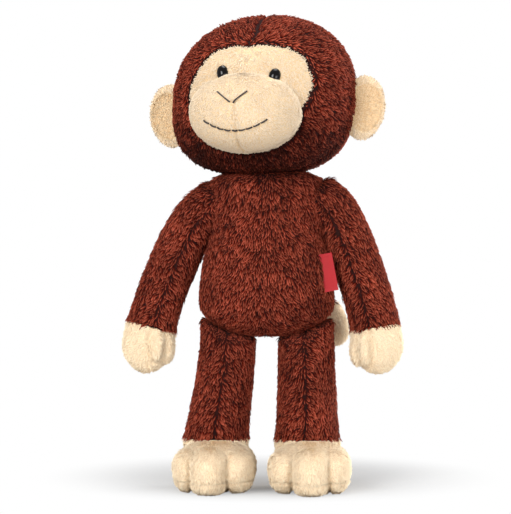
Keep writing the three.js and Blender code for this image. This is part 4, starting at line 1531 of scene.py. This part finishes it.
def thigh_form(side):
    """A column whose top is rounded about the hip's axis and rises towards the outside."""
    points, faces = swell(leg_stations(side), 0, 0, ACROSS, BROWN_DEPTH, rows=80)
    over = points[:, 2] - HIP[2]
    limit = HIP_RADIUS + (points[:, 0] - HIP[0]) * HIP_SLOPE - BROWN_DEPTH
    shrink = np.minimum(1, limit / np.maximum(np.hypot(points[:, 1], over), NOTHING))
    shrink = np.where(over > 0, shrink, 1.0)
    points[:, 1] *= shrink
    points[:, 2] = HIP[2] + over * shrink
    return mirrored((points, faces), side)


def build_thigh(side, name, torso):
    body = f"leg_{name}"

    def aside(points):
        return points[:, 0] - leg_middle(side, points[:, 2]) * side

    from_seam, off_seam, nap = parted(aside, -UP)
    thigh = soft(f"{body}_skin", [thigh_form(side)], BROWN_CLOTH, voxel=1.6, rounds=10)
    sliced(thigh, (0, 0, CUFF_HEIGHT), -UP)
    pressed(thigh, from_seam, depth=1.4, width=2.4)
    piece(thigh, body, [f"leg_cover_{name}"])
    grow(f"{body}_shag", thigh, body, BROWN_PILE, nap, seed=40 + side, hem=to_cuff,
         keep=all_of(below_hip, off_seam, clear_of(torso, margin=3.0)))
    grow(f"{body}_top_pile", thigh, body, BROWN_PILE, nap, seed=80 + side, keep=opposite(below_hip),
         length=3.0, spacing=1.0, lift=(18, 4))
    return thigh


def foot_forms(side, heel_x):
    """The heel and three toes, and an ankle up into the leg."""
    forms = []
    for half_width, half_length, rise, out, forward, fullness in FOOT_LUMPS:
        half = np.array([half_width, half_length, rise, FOOT_WIDEST + FLOOR_CUT]) - CREAM_DEPTH
        lump = egg(*half, above=FOOT_FULLNESS, below=fullness)
        forms.append(shifted(lump, (heel_x + out, -forward, FOOT_WIDEST)))
    forms.append(swell(leg_stations(side, LEG[:3]), 0, 0, ACROSS, CREAM_DEPTH))
    return [mirrored(form, side) for form in forms]


def build_foot(side, name):
    """The upper and the sole of the foot, cut from one skin, with their pile."""
    body = f"leg_{name}"
    heel_x = HIP[0] + ANKLE_SHIFT[side] + FOOT_OUT[side]

    def from_sole_seam(points, normals):
        upright = np.abs(normals[:, 2]) < NEARLY_UPRIGHT
        return np.where(upright, np.abs(points[:, 2] - SOLE_HEIGHT), FAR)

    def from_toe_groove(points, normals):
        x, _, z = points.T
        aside = np.abs(np.abs(x - (heel_x + TOE_SHIFT) * side) - TOE_GROOVE)
        above = TOE_GROOVE_FADE * np.maximum(0, z - TOE_GROOVE_TOP)
        return np.where((normals[:, 1] < TOE_GROOVE_TURN) & (z > SOLE_CLEARANCE), aside + above, FAR)

    def nap(points, _normals):
        forward, down = FOOT_FLOW
        return away_from_middle(points[:, 0] - heel_x * side, *BODY_LEAN) - forward * BACK - down * UP

    def shade(points):
        """Painted shade darkens the pile down in the grooves between the toes and along the sole's seam,
        and painted light lifts the whole foot.
        """
        ahead = np.tile(-BACK, (len(points), 1))
        near = np.minimum(from_toe_groove(points, ahead), from_sole_seam(points, ahead) + SEAM_SHADE_LESS)
        return np.exp(-((near / GROOVE_SHADE_REACH) ** 2)) - PAW_PAINTED_LIGHT

    upper = soft(f"foot_{name}_upper", foot_forms(side, heel_x), PAINTED_LIGHT_PAW_CLOTH, voxel=1.5, rounds=10)
    sliced(upper, (0, 0, CUFF_HEIGHT), UP)
    points = points_of(upper)
    points[:, 2] = np.maximum(points[:, 2], SOLE_CLEARANCE)
    set_points(upper, points)
    pressed(upper, from_toe_groove, depth=2.4, width=1.5)
    pressed(upper, from_sole_seam, depth=1.0, width=1.0)
    sole = linked(f"foot_{name}_sole", upper.data.copy())
    sliced(upper, (0, 0, SOLE_HEIGHT), -UP)
    sliced(sole, (0, 0, SOLE_HEIGHT), UP)
    piece(upper, body, [f"foot_upper_{name}"])
    piece(sole, body, [f"foot_sole_{name}"])
    grow(f"foot_{name}_pile", upper, body, PAINTED_LIGHT_PAW_PILE, nap, seed=50 + side, hem=to_cuff, shade=shade,
         keep=past_hem(to_cuff))
    grow(f"foot_{name}_sole_pile", sole, body, PAINTED_LIGHT_PAW_PILE, nap, seed=60 + side, shade=shade)


# Tail


def tail_form(inset, **changes):
    rows = [(x, y, z, radius, radius) for x, y, z, radius in TAIL]
    return swell(rows, *TAIL_DOMES, TAIL_ACROSS, inset, **changes)


def build_tail(torso):
    """The tail and its cream tip, with their pile, which lies along them."""
    places = np.array(TAIL)[:, :3]
    line = smooth_rows(places)
    tip_from = places[TAIL_TIP_FROM]
    along = unit(places[TAIL_TIP_FROM + 1] - places[TAIL_TIP_FROM - 1])

    def nap(points, _normals):
        nearest = np.array([np.argmin(((line - point) ** 2).sum(1)) for point in points])
        ahead = np.minimum(nearest + TAIL_NAP_STEP, len(line) - 1)
        return line[ahead] - line[np.maximum(ahead - 2 * TAIL_NAP_STEP, 0)]

    radius = TAIL_ROOT_RADIUS
    root = shifted(egg(radius, radius, radius, radius), places[0])
    forms = [tail_form(BROWN_DEPTH, squareness=2.0), root]
    tail = soft("tail_skin", forms, BROWN_CLOTH, voxel=1.3, rounds=4)
    sliced(tail, tip_from, along)
    piece(tail, "tail", ["tail_cover"])
    grow("tail_shag", tail, "tail", BROWN_PILE, nap, seed=71, keep=clear_of(torso, margin=2.0))

    tip = soft("tail_end_skin", [tail_form(CREAM_DEPTH, squareness=2.0)], PAINTED_LIGHT_PAW_CLOTH, voxel=1.2, rounds=4)
    sliced(tip, tip_from, -along)
    piece(tip, "tail", ["tail_tip"])
    # The tip's pile is lifted by painted light, as the paws' is
    grow("tail_end_pile", tip, "tail", PAINTED_LIGHT_PAW_PILE, nap, seed=72,
         shade=lambda points: np.full(len(points), -PAW_PAINTED_LIGHT))


# Label and filling


def build_label():
    """A folded tape, sewn in along its long edge, with a slight wave and a hem at each end."""
    length, width = LABEL_SIZE
    columns, rows = LABEL_STEPS
    x, z = np.meshgrid(np.linspace(-LABEL_ROOT, width, columns), np.linspace(0, -length, rows))
    wave = LABEL_WAVE * np.sin(z / length * LABEL_WAVES * 2 * np.pi) * np.clip(x / width, 0, 1)
    half = LABEL_THICKNESS / 2 + HEM_THICKNESS * ((z > -LABEL_HEM) | (z < LABEL_HEM - length))
    half = half * np.sqrt(np.clip((width - x) / LABEL_EDGE, LABEL_THINNEST, 1))
    points = np.vstack([np.stack([x, wave + way * half, z], axis=2).reshape(-1, 3) for way in (-1, 1)])

    front = np.arange(x.size).reshape(x.shape)
    corners = [front[:-1, :-1], front[1:, :-1], front[1:, 1:], front[:-1, 1:]]
    quads = np.stack(corners, axis=2).reshape(-1, 4)
    faces = [*quads.tolist(), *(quads[:, ::-1] + x.size).tolist()]
    for rim in (front[::-1, -1], front[:, 0], front[0, ::-1], front[-1]):
        for a, b in zip(rim.tolist(), rim[1:].tolist()):
            faces.append((a, b, b + x.size, a + x.size))

    turn = np.array(Matrix.Rotation(-LABEL_TILT, 3, "Y"))
    label = mesh_object("red_side_label", (points @ turn.T + LABEL_TOP, faces), LABEL)
    piece(label, "label", ["side_label"])


def stuff(part, ending, form, place=to_frame):
    """The filling of one part. The names of a limb's filling end with its side."""
    obj = mesh_object(f"filling_{part}{ending}", form, FILLING, place)
    piece(obj, f"{part}{ending}", [f"{part}_stuffing{ending}"])


def build_filling():
    """The stuffing, which is sewn in and hidden."""
    stuff("head", "", head_egg(FILLING_DEPTH), head_place)
    stuff("torso", "", torso_form(FILLING_DEPTH))
    stuff("tail", "", tail_form(FILLING_DEPTH, sides=24))
    for side, name in SIDES.items():
        arm = swell(arm_stations(side), *ARM_DOMES, ACROSS, FILLING_DEPTH)
        leg = swell(leg_stations(side, LEG_FILLING), *LEG_FILLING_DOMES, ACROSS, FILLING_DEPTH)
        stuff("arm", f"_{name}", mirrored(arm, side))
        stuff("leg", f"_{name}", mirrored(leg, side))


# The studio, in metres

FLOOR_RADIUS = 3.0
FLOOR_SIDES = 96
# The painted shadow on the floor: its middle behind the toy, the distances over which it fades into white,
# and the floor's grey as the camera sees it and as bounced light sees it
FLOOR_SHADOW_MIDDLE = (0.0, 0.11, 0.0)
FLOOR_SHADOW_FADE = (0.06, 0.2)
FLOOR_SHADOW_SEEN, FLOOR_GREY = 0.4, 0.65
WHITE = (1.0, 1.0, 1.0, 1.0)
WORLD_STRENGTH = 0.58
LIGHTS_AIM = Vector((0.0, 0.0, 0.2))

# Each light: its place, how wide it is and its power in watts
LIGHTS = {
    "key": ((-0.9, -1.7, 1.0), 0.9, 41.0),
    "fill": ((1.3, -1.6, 0.22), 1.2, 30.0),
    "top": ((0.1, 0.2, 1.7), 1.0, 21.0),
    "rim": ((1.3, 0.8, 0.5), 0.8, 24.0),
}

# The camera, in millimetres
CAMERA_AZIMUTH = math.radians(5)
CAMERA_DISTANCE = 1600.0
CAMERA_HEIGHT = 184.7
CAMERA_ASIDE = 9.2
PHOTOGRAPHED_WIDTH = 408.8


def build_floor():
    """A pale floor that takes the toy's shadow. Round a point behind the toy the camera sees it darker than
    the light does, a painted shadow, which fades into white all round it.
    """
    look = Look("studio_floor")
    look.nodes.remove(look.shader)
    by_camera = look.nodes.new("ShaderNodeLightPath").outputs["Is Camera Ray"]
    distance = look.add("VectorMath", {"operation": "DISTANCE"})
    look.feed(distance.inputs[0], look.place())
    look.feed(distance.inputs[1], FLOOR_SHADOW_MIDDLE)
    fade = look.add("MapRange", {"interpolation_type": "SMOOTHSTEP"}, Value=distance.outputs["Value"],
                    From_Min=FLOOR_SHADOW_FADE[0], From_Max=FLOOR_SHADOW_FADE[1])
    grey = look.add("MapRange", Value=by_camera, To_Min=FLOOR_GREY, To_Max=FLOOR_SHADOW_SEEN)
    lit = look.add("BsdfDiffuse", Color=look.scaled(WHITE[:3], grey.outputs["Result"]))
    white = look.add("Emission", Color=WHITE, Strength=1.0)
    mix = look.add("MixShader", Fac=look.maths("MULTIPLY", fade.outputs["Result"], by_camera))
    look.feed(mix.inputs[1], lit.outputs[0])
    look.feed(mix.inputs[2], white.outputs[0])
    look.feed(look.output.inputs["Surface"], mix.outputs[0])
    points = ring(np.zeros(3), ACROSS, BACK, FLOOR_RADIUS, FLOOR_RADIUS, 2.0, FLOOR_SIDES)
    form = points, [tuple(range(FLOOR_SIDES))]
    floor = mesh_object("studio_floor", form, look.material, place=lambda p: p)


def build_light(name, place, width, power):
    light = bpy.data.lights.new(name, "AREA")
    light.shape = "RECTANGLE"
    light.size = light.size_y = width
    light.energy = power
    obj = linked(name, light)
    obj.location = place
    obj.rotation_euler = (LIGHTS_AIM - Vector(place)).to_track_quat("-Z", "Y").to_euler()


def build_world():
    world = bpy.data.worlds.new("white_studio")
    bpy.context.scene.world = world
    world.use_nodes = True
    nodes, links = world.node_tree.nodes, world.node_tree.links
    background = nodes["Background"]
    background.inputs["Color"].default_value = WHITE
    path = nodes.new("ShaderNodeLightPath")
    level = nodes.new("ShaderNodeMapRange")
    level.inputs["To Min"].default_value = WORLD_STRENGTH
    links.new(path.outputs["Is Camera Ray"], level.inputs["Value"])
    links.new(level.outputs["Result"], background.inputs["Strength"])


def build_camera():
    """It stands level with the toy's waist, a little to the toy's left."""
    aside = np.array([math.cos(CAMERA_AZIMUTH), math.sin(CAMERA_AZIMUTH), 0.0])
    ahead = np.cross(UP, aside)
    camera = bpy.data.cameras.new("photograph")
    camera.sensor_fit = "HORIZONTAL"
    camera.sensor_width = 36.0
    camera.lens = camera.sensor_width * CAMERA_DISTANCE / PHOTOGRAPHED_WIDTH
    camera.clip_start = 0.1
    camera.clip_end = 20.0
    obj = linked("photograph", camera)
    obj.location = to_frame(CAMERA_HEIGHT * UP - CAMERA_ASIDE * aside - CAMERA_DISTANCE * ahead)
    obj.rotation_euler = (math.pi / 2, 0.0, CAMERA_AZIMUTH)
    bpy.context.scene.camera = obj


# The toy and the studio

torso = build_torso()
neighbours = [build_head(torso)]
for side, name in SIDES.items():
    neighbours.append(build_arm(side, name, torso))
    neighbours.append(build_thigh(side, name, torso))
    build_foot(side, name)
    build_ear(side, name)
    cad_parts[f"eye_washer_{name}"].data.materials[0] = WASHER
build_tail(torso)
build_label()
build_filling()
grow("torso_shag", torso, "torso", BROWN_PILE, torso_nap, seed=13, keep=clear_of(*neighbours, margin=2.0))

build_camera()
build_world()
build_floor()
for name, light in LIGHTS.items():
    build_light(name, *light)
bpy.context.scene.view_settings.view_transform = "Standard"
